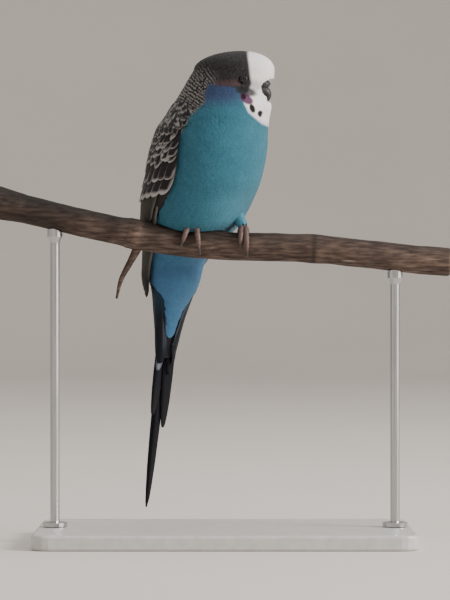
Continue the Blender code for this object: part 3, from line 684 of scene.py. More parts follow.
def body_marks_and_shading(points, along=None, tone=0.0):
    """Colour of the body at each point, with painted shade and painted light. along is the place on a
    feather.
    """
    f, r, h = face_place(points)
    side = np.abs(body_angle(points))
    # Painted shade: the flanks darken towards the wing.
    colour = blend(BLUE, BLUE_DEEP, 0.45 * smooth(25, 80, side) * smooth(112, 128, h))
    # Painted light: the lower breast is lightened at the front.
    colour = blend(colour, BLUE_LIGHT, 0.30 * smooth(150, 130, h) * smooth(40, 0, side))
    colour = blend(colour, VENT_BLUE, smooth(122, 108, h))
    colour = blend(colour, BLUE_LIGHT, 0.10 * np.clip(tone, 0, 1))
    colour = blend(colour, BLUE_DEEP, 0.14 * np.clip(-np.asarray(tone), 0, 1))
    if along is not None:
        colour = blend(colour, BLUE_LIGHT, 0.09 * smooth(0.84, 1.0, along))
    # Painted shade: a dark violet-blue ring round the neck under the head.
    neck = smooth(171.0, 177.5, h) * smooth(6.0, 1.0, f)
    colour = blend(colour, NECK_SHADE_BLUE, 0.85 * neck)
    russet = smooth(180.4, 181.6, h) * smooth(184.2, 182.6, h) * smooth(-8, -3, f) * smooth(5.5, 3.0, f)
    pale = blend(CROWN_LIGHT, NAPE_LIGHT, smooth(-3, -11, f) * smooth(191, 183, h))
    bars = bars_at(points, 0.10 * np.asarray(tone)) if along is not None else 0.4
    colour = blend(colour, blend(BAR_DARK, pale, bars + 0 * h), barred_share(points))
    colour = blend(colour, RUSSET, 0.85 * russet)
    # Painted shade: grey on the white face between eye and cere.
    shade = patch_share(f, h, (8.6, 181.2, 3.4, 2.4, 0), 0.5)
    white = blend(WHITE, FACE_SHADE_GREY, 0.55 * shade * smooth(4, 7, np.abs(r)))
    white = blend(white, LAVENDER, 0.6 * smooth(2.4, 0.2, h - np.interp(f, *WHITE_EDGE)))
    colour = blend(colour, white, mask_share(points))
    near = smooth(3.5, 5.0, np.abs(r))
    colour = blend(colour, BAR_DARK, 0.9 * near * patch_share(f, h, CHEEK_TOP, 0.3))
    colour = blend(colour, VIOLET, 0.95 * near * patch_share(f, h, CHEEK, 0.2))
    for spot in SPOTS:
        colour = blend(colour, BLACK, near * patch_share(f, h, spot, 0.2))
    return colour


def edged(centre, fringe, width):
    """Colouring for dark feathers with a pale edge, a little different on each."""
    def marks(_, t, c):
        start = 1 - width * chance.uniform(0.7, 1.4, (len(t), 1, 1))
        side = chance.uniform(0.60, 0.85, (len(t), 1, 1))
        edge = smooth(0, 0.15, np.abs(c) - side) * smooth(0.4, 0.7, t)
        edge = np.maximum(smooth(-0.03, 0.03, t - start), edge)
        return blend(centre, fringe, edge * chance.uniform(0.6, 1.0, (len(t), 1, 1)))
    return marks


# Body coat

def lie_at(points):
    """Direction in which the feathers lie: away from the bill on the face, then down the body."""
    away = unit(points - BILL_BASE)
    far = np.linalg.norm(points - BILL_BASE, axis=-1)
    share = np.exp(-(far / 13.0) ** 2)[..., None]
    back = np.array([-0.55, 0.25, -0.8])
    head = smooth(176, 188, points[..., 2])[..., None]
    body = unit(DOWN_TAIL * (1 - head) + back * head)
    return unit(away * share * 1.6 + body * (1 - share))


def ring_roots(top, bottom, spacing):
    """Roots in level rings down the body, staggered, a spacing apart along the surface."""
    rows = []
    height = top
    odd = 0

    def sizes(at):
        _, _, depth, width, _, rise = (float(value) for value in section(at))
        shrink = math.sqrt(max(1 - rise**2, 0.0))
        return depth * shrink, width * shrink

    while height > bottom:
        depth, width = sizes(height)
        around = 2 * math.pi * math.hypot(depth, width) / math.sqrt(2)
        count = max(3, round(around / spacing))
        angles = (np.arange(count) + 0.5 * odd) * 360 / count
        rows.append(np.stack([np.full(count, height), angles], -1))
        slope = sum(sizes(height - 0.5)) - depth - width
        height -= spacing * 0.9 / math.sqrt(1 + slope**2)
        odd = 1 - odd
    places = np.concatenate(rows)
    places[:, 0] += chance.uniform(-0.14, 0.14, len(places)) * spacing
    radius = np.maximum(section(places[:, 0])[2], 3)
    places[:, 1] += np.degrees(chance.uniform(-0.14, 0.14, len(places)) * spacing / radius)
    places[:, 0] = np.minimum(places[:, 0], CROWN_TOP - 0.05)
    roots = skin_point(places[:, 0], places[:, 1])
    return settle(roots, np.zeros(len(roots)))[0]


def eye_place(side):
    """Surface point and outward normal where an eye sits."""
    angle = side * math.degrees(math.acos(EYE_FORWARD / float(section(EYE_HEIGHT)[2])))
    point, normal = settle(skin_point(np.array(EYE_HEIGHT), np.array(angle))[None], np.zeros(1))
    return point[0], normal[0]


EYES = {"R": eye_place(1), "L": eye_place(-1)}
# Nearest that feathers come to an eye
LID_REACH = 1.34
# Length below which a feather is left out
SHORTEST = 0.5
# Rise of each row over the next
SHINGLE = 0.0396
COAT_TOP = CROWN_TOP - 0.1
# How far the body's feathers run under the wing, in degrees
UNDER_WING = 1.5
# Half angle of the breast, round from the breastbone
BREAST = 52
# Bare place of the bill: its back, half width, top and bottom
BILL_PLACE = (8.5, 2.5, 182.2, 175.9)
# Spacing of the roots, step of their rows, length, half width and rise of the tips
FACE_FEATHERS = (0.72, 0.65, 2.2, 0.56, 0.03)
HEAD_FEATHERS = (0.95, 0.85, 3.2, 0.76, 0.04)
BODY_SPACING = 1.3
BODY_STEP = 1.17
MANTLE_LENGTH = 6.2
MANTLE_WIDTH = 1.75


def coat_depth(points):
    return FACE_COAT + (BODY_COAT - FACE_COAT) * smooth(180, 168, points[..., 2])


def wing_rise(height):
    """Thickness of the folded arm: thin at the shoulder, where the mantle runs over it."""
    return smooth(173.5, 160.0, height)


def wing_cover(points):
    """How far inside the wing's edges each place is, in degrees, below 0 outside."""
    side = np.abs(body_angle(points))
    front = interpolate(WING_EDGES, points[..., 2], 1)
    spine = interpolate(WING_EDGES, points[..., 2], 2)
    inside = np.minimum(side - front, spine - side)
    return np.where((points[..., 2] < WING_TOP) & (points[..., 2] > WING_LOW), inside, -30.0)


def coat(name, roots, step, length, width, tip_lift, material, marks=None):
    """Feathers of one region, set on roots whose rows lie a step apart.

    They stop short of cere, bill and eyelids. Without marks of their own they are coloured by
    their place on the body.
    """
    f, r, h = face_place(roots)
    cere = (((f - CERE_CENTRE[0]) / (CERE_SIZE[0] + 0.2)) ** 2 + (r / (CERE_SIZE[1] - 0.2)) ** 2
            + ((h - CERE_CENTRE[1]) / (CERE_SIZE[2] - 0.1)) ** 2)
    back, half_width, top, bottom = BILL_PLACE
    bill = (f > back) & (np.abs(r) < half_width) & (h < top) & (h > bottom)
    keep = (cere > 1) & ~bill
    length, width, tip_lift = (np.zeros(len(roots)) + value for value in (length, width, tip_lift))
    roots, length, width, tip_lift = (value[keep] for value in (roots, length, width, tip_lift))
    lie, normal = laid(lie_at(roots), roots)
    lie = lie + np.cross(normal, lie) * chance.normal(0, 0.07, len(roots))[:, None]
    for point, _ in EYES.values():
        offset = point - roots
        ahead = (offset * lie).sum(-1)
        across = np.linalg.norm(offset - lie * ahead[:, None], axis=-1)
        reach = LID_REACH + width * 0.7
        half = np.sqrt(np.maximum(reach**2 - across**2, 0))
        blocked = (across < reach) & (ahead + half > 0)
        length = np.where(blocked, np.minimum(length, ahead - half), length)
    keep = length > SHORTEST
    roots, lie, length, width, tip_lift = (value[keep] for value in (roots, lie, length, width, tip_lift))
    count = len(roots)
    length = length * chance.uniform(0.93, 1.07, count)
    shingle = SHINGLE / step * float(length.mean())
    tip_lift = tip_lift + chance.normal(0, 0.012, count)
    points = contour_vanes(roots, lie, length, width, -coat_depth(roots), tip_lift, shingle)
    t, c = along_vanes(CONTOUR, count)
    tone = np.clip(chance.normal(0, 0.4, count), -1, 1)[:, None, None] + 0 * t
    colours = marks(points, t, c) if marks else body_marks_and_shading(points, t, tone)
    return feathers(name, points, roots, CONTOUR, length, width, colours, material)


def body_coat(material, face_material):
    """The feathers of head, neck, breast, mantle and belly."""
    spacing, *sizes = FACE_FEATHERS
    face = ring_roots(COAT_TOP, 165.0, spacing)
    face = face[(mask_share(face) > 0.05) | (np.linalg.norm(face - BILL_BASE, axis=-1) < 9)]
    coat("coat_face", face, *sizes, face_material)
    spacing, *sizes = HEAD_FEATHERS
    head = ring_roots(COAT_TOP, 171.5, spacing)
    head = head[(mask_share(head) < 0.6) & (np.linalg.norm(head - BILL_BASE, axis=-1) > 8)]
    coat("coat_head", head, *sizes, face_material)
    body = ring_roots(175.0, 109.0, BODY_SPACING)
    above = body - np.array([0, 0, 2.5])
    body = body[(mask_share(above) < 0.5) & (barred_share(body) < 0.6) & (wing_cover(body) < UNDER_WING)]
    height = body[:, 2]
    grown = smooth(176, 166, height)
    long = 3.4 + 1.8 * grown + 1.2 * smooth(150, 120, height)
    wide = 0.95 + 0.50 * grown
    lift = 0.06 + 0.3 * smooth(-7, 1, wing_cover(body)) * smooth(172.6, 162, height)
    front = np.abs(body_angle(body)) < BREAST
    for name, part in (("coat_breast", front), ("coat_flanks", ~front)):
        coat(name, body[part], BODY_STEP, long[part], wide[part], lift[part], material)
    for name, top, low, spacing, size, marks in (
            ("coat_nape", 177.0, 167.5, 1.2, 0.72, None),
            ("coat_mantle", 170.5, 138.0, 1.8, 0.9, edged(BAR_DARK, NAPE_LIGHT, 0.12))):
        roots = ring_roots(top, low, spacing)
        height = roots[:, 2]
        roots = roots[(barred_share(roots) > 0.45) & ((wing_cover(roots) < UNDER_WING) | (height > 166.5))]
        roots = roots[(own_angle(roots) > 100) | (roots[:, 2] > 172)]
        over = smooth(-14, -2, wing_cover(roots - np.array([0, 0, 4.0])))
        lift = 0.08 + over * (0.25 + 1.5 * wing_rise(roots[:, 2] - 4))
        length, width = MANTLE_LENGTH * size, MANTLE_WIDTH * size
        coat(name, roots, 0.9 * spacing, length, width, lift, face_material, marks)


# Undertail: height of a covert's tip, and how far round from the middle the blue still reaches,
# then the heights of the first and last row, their step, the coverts' spacing and half width
VENT_MIDDLE = 12
VENT_REACH = ((82.0, 86.0, 92.0, 98.0, 101.0, 104.0), (2, 8, 22, 40, 60, 104))
VENT_ROWS = (112.0, 89.0, -1.55)
VENT_SPACING = 1.9
VENT_WIDTH = 1.7
# Bases of the tail feathers: angle of the first and last on each side, height and half width
TAIL_BASE_ANGLES = ((56, 176), (-48, -168))
TAIL_BASE_HEIGHT = 105.0
TAIL_BASE_WIDTH = 1.9


def vent_marks_and_shading(points, t, _):
    tone = chance.normal(0, 0.4, len(t))[:, None, None] + 0 * t
    # Painted light: the coverts are lighter on the bird's left, the side towards the key light.
    return blend(body_marks_and_shading(points, t, tone), BLUE_LIGHT, 0.18 * smooth(-60, 40, -body_angle(points)))


def undertail(material):
    """Blue coverts that narrow to a point over the dark bases of the outer tail feathers."""
    roots = []
    tips = []
    for row, height in enumerate(np.arange(*VENT_ROWS)):
        low = height - 8.0 - 0.04 * (VENT_ROWS[0] - height)
        reach, start = (float(np.interp(at, *VENT_REACH)) for at in (low, height - 3))
        radius = float(sum(section(height)[2:4])) / 2
        count = max(2, round(2 * math.radians(start) * radius / VENT_SPACING))
        share = (np.arange(count) + 0.25 + 0.5 * (row % 2)) / count * 2 - 1
        jitter = chance.normal(0, 0.3, (2, count))
        roots.append(np.stack([height + jitter[0], VENT_MIDDLE + start * share], -1))
        tips.append(np.stack([low + jitter[1], VENT_MIDDLE + reach * share], -1))
    roots = np.concatenate(roots)
    tips = np.concatenate(tips)
    count = len(roots)
    lifts = np.stack([np.full(count, -0.5), 0.25 + 0.3 * smooth(104, 84, tips[:, 0])], -1)
    folded_feathers("coat_undertail", 1, (roots, tips, np.full(count, VENT_WIDTH), lifts), CONTOUR, material,
                    vent_marks_and_shading, 0.08, 0.04, lengths=roots[:, 0] - tips[:, 0])
    angle = np.concatenate([np.linspace(first, last, 11) for first, last in TAIL_BASE_ANGLES])
    count = len(angle)
    roots = np.stack([np.full(count, TAIL_BASE_HEIGHT), angle], -1)
    tips = np.stack([78 - 8 * chance.random(count), VENT_MIDDLE + (angle - VENT_MIDDLE) * 0.82], -1)
    lifts = np.stack([np.full(count, -0.4), 0.25 + 0.25 * (np.arange(count) % 2)], -1)

    def base_marks(_, t, c):
        below = blend(NAVY, BLUE_DEEP, 0.5 * smooth(0.5, 0.0, t))
        back = smooth(95, 130, np.abs(angle))[:, None, None] + 0 * t
        colours = blend(below, blend(BLUE_DEEP, NAVY, t), back)
        return blend(colours, TAIL_PALE, 0.5 * smooth(0.72, 0.95, np.abs(c)) * smooth(0.95, 0.5, t))

    folded_feathers("tail_bases", 1, (roots, tips, np.full(count, TAIL_BASE_WIDTH), lifts), REMEX, material,
                    base_marks, 0.14, 0.06, "plumage_tail", roots[:, 0] - tips[:, 0])


def skin(material):
    """One skin under the whole coat, which also closes over the tops of the legs."""
    crown = BODY[-1][0] + (CROWN_TOP - BODY[-1][0]) * np.sin(np.linspace(0.12, 1.5, 16))
    heights = np.concatenate([np.linspace(BODY[0][0] + 1, BODY[-1][0], 150), crown])
    height, angle = np.meshgrid(heights, np.arange(128) * 360 / 128, indexing="ij")
    flat = skin_point(height, angle)
    points, _ = settle(flat, -coat_depth(flat))
    points = clear_of_perch(points, PERCH_CLEAR + 0.1)
    colours = blend(body_marks_and_shading(points), NAVY, smooth(99, 92, points[..., 2]))
    tube("skin", points, material, "plumage_blue", "head", "neck", "torso", "leg_R", "leg_L",
         uvs={"OFBake": unwrap(flat)}, layers={"Markings": colours})


# Wings

def wing_base(side, letter, material):
    """The folded arm under the feathers."""
    heights = np.linspace(WING_LOW + 1, WING_TOP - 0.4, 40)
    columns = 26
    front, spine = (interpolate(WING_EDGES, heights, column)[:, None] for column in (1, 2))
    v = np.linspace(0, 1, columns)[None, :]
    ends = (heights[:, None] - heights[0]) / (heights[-1] - heights[0])
    fill = np.sqrt(np.maximum(1 - (2 * ends - 1) ** 4, 0)) * np.sqrt(np.maximum(1 - (2 * v - 1) ** 4, 0))
    angle = side * (front + (spine - front) * v)
    height = np.broadcast_to(heights[:, None], angle.shape)
    upper = lifted(height, angle, 0.05 + 1.3 * fill * wing_rise(heights)[:, None])
    lower = lifted(height, angle, -0.9 + 0 * fill)
    ring = clear_of_perch(np.concatenate([upper, lower[:, ::-1]], axis=1))
    tube("wing_base_" + letter, ring, material, "plumage_wing", "wing_" + letter,
         uvs={"OFBake": unwrap(ring), "Vane": np.zeros((*ring.shape[:2], 2))},
         layers={"Markings": np.broadcast_to(np.array(BAR_DARK) * 1.4, ring.shape)})


def tier(count, roots, tips, width, lifts, bow, jitter):
    """Feathers side by side: first and last root and tip, each a height and an angle."""
    t = np.linspace(0, 1, count)[:, None]
    root = np.array(roots[0]) * (1 - t) + np.array(roots[1]) * t
    tip = np.array(tips[0]) * (1 - t) + np.array(tips[1]) * t
    tip[:, 0] -= bow * np.sin(math.pi * t[:, 0])
    tip += chance.normal(0, jitter, tip.shape)
    return root, tip, np.full(count, width), np.array(lifts)[None, :] + 0.22 * t


def covert_rows(top, bottom, step, pitch, length, width):
    """Rows of small coverts between two heights of the wing."""
    parts = []
    for row, height in enumerate(np.arange(top, bottom, -step)):
        front = float(interpolate(WING_EDGES, height, 1)) - 1
        spine = float(interpolate(WING_EDGES, height, 2)) - 2
        radius = float(sum(section(height)[2:4])) / 2 + 2
        count = max(2, round(math.radians(spine - front) * radius / pitch))
        share = (np.arange(count) + 0.25 + 0.5 * (row % 2)) / count
        angle = front + (spine - front) * share + chance.normal(0, 1.0, count)
        long = length * chance.uniform(0.88, 1.12, count)
        start = height + chance.normal(0, 0.2, count)
        back = np.degrees(long * (0.30 - 0.25 * share) / radius)
        rise = wing_rise(start)
        parts.append(np.stack([start, angle, start - long, angle + back, np.full(count, width),
                               0.25 + 1.0 * rise, 0.75 + 1.75 * rise + chance.normal(0, 0.04, count)], -1))
    table = np.concatenate(parts)
    return table[:, :2], table[:, 2:4], table[:, 4], table[:, 5:]


def primary_marks(_, t, c):
    """Olive-grey flight feathers with a fine pale outer edge and near-black tips."""
    colour = blend(OLIVE, BLACK, smooth(0.60, 0.84, t))
    return blend(colour, WING_PALE, 0.40 * smooth(0.72, 0.95, -c) * smooth(0.80, 0.60, t))


def secondary_marks(_, t, c):
    colour = blend(OLIVE, BAR_DARK, 0.5 * smooth(0.3, 0.0, np.abs(c)))
    return blend(colour, WING_PALE, 0.25 * smooth(0.75, 0.92, -c) * smooth(0.96, 0.80, t))


def tertial_marks(_, t, c):
    edge = np.maximum(smooth(0.84, 0.88, t), smooth(0.55, 0.80, -c) * smooth(0.3, 0.6, t))
    return blend(WING_DARK, WING_PALE, edge)


# Tiers of the wing: name, number of feathers, first and last root, first and last tip, half
# width, heights of roots and tips, sag of the middle tips, unevenness, outline and colouring
WING_TIERS = (
    ("primaries", 9, ((138, 92), (136, 140)), ((97.4, 106), (114, 156)), 3.2, (0.9, 2.6), 0.6, 0.35,
     REMEX, primary_marks),
    ("secondaries", 10, ((147, 92), (147, 150)), ((127, 101), (114, 158)), 2.7, (1.1, 2.3), 0.0, 0.35,
     REMEX, secondary_marks),
    ("tertials", 8, ((153, 80), (153, 148)), ((138.8, 82), (135.0, 157)), 3.2, (1.2, 2.45), 0.8, 0.6,
     REMEX, tertial_marks),
    ("coverts_greater", 9, ((155, 79), (156, 148)), ((143.8, 80), (141.4, 156)), 2.8, (1.3, 2.55), 0.6, 0.7,
     REMEX, edged(WING_DARK, WING_PALE, 0.07)),
    ("coverts_median", 9, ((159, 79), (159, 148)), ((152.0, 80), (149.8, 154)), 2.5, (1.3, 2.6), 0.5, 0.8,
     CONTOUR, edged(WING_DARK, WING_PALE, 0.10)),
)


def wing(side, letter, material):
    wing_base(side, letter, material)
    for name, *sizes, shape, marks in WING_TIERS:
        folded_feathers(f"wing_{name}_{letter}", side, tier(*sizes), shape, material, marks)
    folded_feathers("wing_coverts_lesser_" + letter, side, covert_rows(171.6, 156.5, 2.5, 3.0, 5.6, 1.9),
                    CONTOUR, material, edged(BLACK, WING_PALE, 0.15))


# Tail

def tail_marks(pair, side, t, c, tip):
    """Middle pair blue-black, the next with a violet-grey sheen, the short ones with pale tips."""
    far = t * tip
    if pair == 0:
        dark = blend(NAVY, BLACK, 0.6 * smooth(60, 100, far))
        return blend(dark, SHEEN, 0.35 * smooth(0.5, 0.9, -side * c))
    if pair == 1:
        shine = smooth(0.1, 0.7, -side * c) * smooth(0.3, 0.7, t)
        return blend(blend(NAVY, BLACK, smooth(0.75, 0.95, t)), SHEEN, 0.8 * shine)
    pale = smooth(tip - 4.2, tip - 3.0, far) if pair == 2 and side > 0 else 0 * t
    if pair == 3:
        pale = smooth(tip - 6.0, tip - 4.5, far)
    return blend(blend(BLUE_DEEP, NAVY, smooth(0.2, 0.6, t)), TAIL_PALE, 0.8 * pale)


def tail(material):
    """Six pairs of tail feathers, the long middle pair behind the others."""
    _, right = directions(np.array(float(CHEST_YAW)))
    belly = unit(np.cross(right, DOWN_TAIL))
    parts, colours, bakes, vanes = [], [], [], []
    along, outline = np.array(RECTRIX).T
    for pair, width in enumerate(TAIL_HALF_WIDTHS):
        for side in (1, -1):
            tip = TAIL_TIPS[side][pair] - chance.uniform(0, 0.6)
            depth = TAIL_BACK - TAIL_LAYER * (2 * pair + (0.5 if side > 0 else 1.3))
            down_by = TAIL_ROOT - 8 + (tip - TAIL_ROOT + 8) * along
            spread = side * (0.5 + (TAIL_SPREAD[side][pair] - 0.5) * along**0.6)
            spread = spread * (1 - 0.85 * along**3 * (pair == 0))
            back = depth * (1 - 0.6 * along**2 * (pair == 0))
            sideways = spread[:, None] + RING_ACROSS * (width * outline)[:, None]
            droop = 0.10 * np.abs(RING_ACROSS) * (width * outline)[:, None]
            height = droop - back[:, None] - 0.24 * RING_HEIGHT
            flat = 0 * sideways
            t = down_by[:, None] / tip + flat
            parts.append(np.array(TAIL_TOP) + DOWN_TAIL * down_by[:, None, None]
                         + right * sideways[..., None] + belly * height[..., None])
            colours.append(tail_marks(pair, side, t, RING_ACROSS + flat, tip))
            u = 0.04 + 0.92 * (2 * pair + (side > 0)) / 12 + 0.03 * RING_ACROSS + flat
            bakes.append(np.stack([u, 0.03 + 0.94 * t], -1))
            vanes.append(np.stack([sideways, down_by[:, None] + flat], -1))
    made = make_mesh("tail_feathers", parts, vane_faces(len(parts), len(RECTRIX)), material,
                     uvs={"OFBake": bakes, "Vane": vanes}, layers={"Markings": colours})
    return ride(made, "plumage_tail", "tail")


# Face

def heading(path):
    """Direction of a path at each of its points."""
    return unit(np.vstack([path[1:], path[-1:]]) - np.vstack([path[:1], path[:-1]]))


def tube_points(path, radii, sides, hint):
    """Rings of points along a path, the first point of each on the side of the hint."""
    along = heading(path)
    side = unit(hint - along * (along @ hint)[:, None])
    other = np.cross(along, side)
    turn = 2 * math.pi * np.arange(sides) / sides
    radii = radii[:, None] if radii.ndim == 1 else radii
    return (path[:, None] + side[:, None] * (radii * np.cos(turn))[..., None]
            + other[:, None] * (radii * np.sin(turn))[..., None])


def ball(rows, columns, near_pole, first, second, pole):
    """Rings of points of a unit ball round an axis, from its pole on."""
    polar = np.linspace(near_pole, math.pi - near_pole, rows)[:, None, None]
    turn = 2 * math.pi * np.arange(columns)[:, None] / columns
    flat = np.asarray(first) * np.cos(turn) + np.asarray(second) * np.sin(turn)
    return np.sin(polar) * flat + np.cos(polar) * np.asarray(pole)


def resample(rows, count, column_count):
    """Rows of numbers made finer by a smooth curve through them."""
    keys = np.arange(len(rows))
    at = np.linspace(0, len(rows) - 1, count)
    table = [(key, *row) for key, row in zip(keys, rows)]
    return np.stack([interpolate(table, at, column + 1) for column in range(column_count)], -1)


def bill_half(name, rows, material, node_name):
    """One half of the bill: forward distance, height, half thickness and half width of each row."""
    fine = resample(rows, 28, 4)
    path = np.array([face_point(row[0], 0, row[1]) for row in fine])
    up = unit(np.cross(FACE_RIGHT, heading(path)))
    turn = 2 * math.pi * np.arange(28) / 28
    ridge = 1 + 0.05 * np.exp(-((turn - math.pi / 2) / 0.35) ** 2)
    points = (path[:, None] + FACE_RIGHT * (fine[:, 3, None] * np.cos(turn))[..., None]
              + up[:, None] * (fine[:, 2, None] * np.sin(turn) * ridge)[..., None])
    return tube(name, points, material, "horn", node_name)


def eyes(material, lid_material):
    """Eyeballs, and the bare rims of the lids, which are pleated all round."""
    steps, sides = 48, 10
    around = 2 * math.pi * np.arange(steps) / steps
    roll = (2 * math.pi * np.arange(sides) / sides)[:, None]
    thick = LID_THICKNESS * (1 + 0.12 * np.cos(around * 14))
    reach = EYE_OPENING + LID_THICKNESS + thick * np.cos(roll)
    rise = thick * np.sin(roll) + np.sqrt(np.maximum(EYE_RADIUS**2 - reach**2, 0)) - EYE_DEPTH
    for letter, (point, normal) in EYES.items():
        flat = unit(np.cross(normal, UP))
        other = np.cross(normal, flat)
        points = point - normal * EYE_DEPTH + EYE_RADIUS * ball(24, 36, 0.02, flat, other, normal)
        tube("eyeball_" + letter, points, material, "eye", "eye_" + letter)
        out = flat * np.cos(around)[:, None] + other * np.sin(around)[:, None]
        rim = point + out * reach[..., None] + normal * rise[..., None]
        faces = grid_faces(sides + 1, steps) % (sides * steps)
        ride(make_mesh("eyelid_" + letter, rim, faces, lid_material), "cere")


def cere(material):
    """Fleshy pad over the bill, with its two nostrils sunk in."""
    offset = ball(48, 64, 0.04, (0, 0, 1), (0, 1, 0), (1, 0, 0)) * np.array(CERE_SIZE)
    for side in (-1, 1):
        near = np.linalg.norm(offset - np.array([CERE_SIZE[0] * 0.85, side * NOSTRIL_SIDE, 0.5]), axis=-1)
        hollow = 0.30 * np.exp(-(near / 0.42) ** 2) - 0.07 * np.exp(-((near - 0.8) / 0.3) ** 2)
        offset = offset * (1 - hollow[..., None])
    points = (face_point(CERE_CENTRE[0], 0, CERE_CENTRE[1]) + FACE_FORWARD * offset[..., :1]
              + FACE_RIGHT * offset[..., 1:2] + UP * offset[..., 2:])
    return tube("cere_pad", points, material, "cere", "cere")


# Feet

def grip_point(x, turn, lift):
    """Point round the perch at x: turn 0 is on top, 90 at the front, lift above the bark."""
    angle = np.radians(turn)
    radius = perch_radius(x) + lift
    return np.stack([x, -np.sin(angle) * radius, perch_height(x) + np.cos(angle) * radius], -1)


def toe_points(letter, spec, first, last, count, rough):
    """Part of a toe between two shares of its length, with scutes where rough is set."""
    base_shift, tip_shift, reach = spec
    radii = TOE_RADII + CLAW_RADII
    keys = [(i / (len(radii) - 1), radius) for i, radius in enumerate(radii)]
    t = np.linspace(first, last, count)
    radius = interpolate(keys, t, 1)
    x = FOOT_PLACES[letter] + base_shift + (tip_shift - base_shift) * t
    arch = 0.35 * np.sin(math.pi * np.minimum(t * 1.4, 1.0))
    path = grip_point(x, reach * (0.06 + 0.94 * t), radius + arch + 0.42)
    top = smooth(-0.3, 0.6, np.sin(2 * math.pi * np.arange(TOE_SIDES) / TOE_SIDES))
    scutes = 0.09 * (0.5 + 0.5 * np.cos(t * count * 0.45)[:, None]) * top
    pads = 0.06 * np.sin(t * 26)[:, None] ** 2
    rings = radius[:, None] * (1 + rough * (scutes + pads))
    return tube_points(path, rings, TOE_SIDES, ALONG_PERCH)


def leg_line(letter, lift):
    """Lower and upper end of a leg, the lower one raised over the perch."""
    return grip_point(np.array(FOOT_PLACES[letter]), 0.0, FOOT_PAD[2] + lift), np.array(LEG_TOPS[letter])


def feet(material, claw_material):
    for letter, specs in TOES.items():
        toes = [toe_points(letter, spec, 0.0, TOE_END, 60, 1.0) for spec in specs]
        claws = [toe_points(letter, spec, CLAW_START, 1.0, 26, 0.0) for spec in specs]
        low, top = leg_line(letter, 0.1)
        path = low + (top - low) * np.linspace(0, 0.5, 30)[:, None]
        ring = np.linspace(1.5, 1.15, 30) * (1 + 0.05 * np.cos(np.arange(30) * 1.3))
        ring[0] = 0.9
        shank = tube_points(path, ring, TOE_SIDES, ALONG_PERCH)
        centre, _ = leg_line(letter, 0.45)
        pad = centre + ball(20, TOE_SIDES, 0.05, (1, 0, 0), (0, 1, 0), (0, 0, -1)) * np.array(FOOT_PAD)
        ride(join_tubes("foot_skin_" + letter, [*toes, shank, pad], material), "foot_skin", "foot_" + letter)
        ride(join_tubes("claws_" + letter, claws, claw_material), "horn")


def join_tubes(name, parts, material, layers=None):
    faces = []
    start = 0
    for rings in parts:
        faces.append(tube_faces(*rings.shape[:2]) + start)
        start += rings.shape[0] * rings.shape[1]
    points = np.concatenate([rings.reshape(-1, 3) for rings in parts])
    return make_mesh(name, points, np.concatenate(faces), material, layers=layers)


def leg_tufts(material):
    """Soft feathers round the tops of the legs."""
    along, outline = np.array(CONTOUR).T
    for letter in FOOT_PLACES:
        low, top = leg_line(letter, 0.9)
        axis = unit(top - low)
        flat = unit(np.cross(axis, ALONG_PERCH))
        other = np.cross(axis, flat)
        place, out = [], []
        for row in range(TUFT_ROWS):
            share = 0.30 + 0.085 * row
            radius = np.interp(share, [0, 0.45, 1], LEG_RADII) + 0.25
            count = 12 + row
            turn = 2 * math.pi * (np.arange(count) + 0.5 * (row % 2)) / count + chance.normal(0, 0.06, count)
            out.append(flat * np.cos(turn)[:, None] + other * np.sin(turn)[:, None])
            place.append(low + (top - low) * share + out[-1] * radius)
        place = np.concatenate(place)
        out = np.concatenate(out)
        count = len(place)
        length = chance.uniform(*TUFT_LENGTHS, count)
        lift = (0.30 * along * (1 - along) - 0.11 * along)[None, :, None] * length[:, None, None]
        across = RING_ACROSS * outline[:, None] * TUFT_WIDTH
        points = (place[:, None, None] - axis * (along * length[:, None])[..., None, None]
                  + np.cross(out, axis)[:, None, None] * across[..., None]
                  + out[:, None, None] * (lift + 0.14 * RING_HEIGHT)[..., None])
        t, _ = along_vanes(CONTOUR, count)
        feathers("coat_leg_" + letter, clear_of_perch(points, 0.4), place, CONTOUR, length,
                 np.full(count, TUFT_WIDTH), blend(BLUE, BLUE_LIGHT, 0.3 + 0.3 * t), material)


# Perch and stand

# Ridges of bark: how often they come along the branch and round it, and their height
BARK_RIDGES = ((0.05, 1.6, 0.22), (0.22, 5.5, 0.11))
# Raised rings at the node: place along the branch and half width
BARK_RINGS = ((-34.5, 0.8), (-38.4, 0.7))


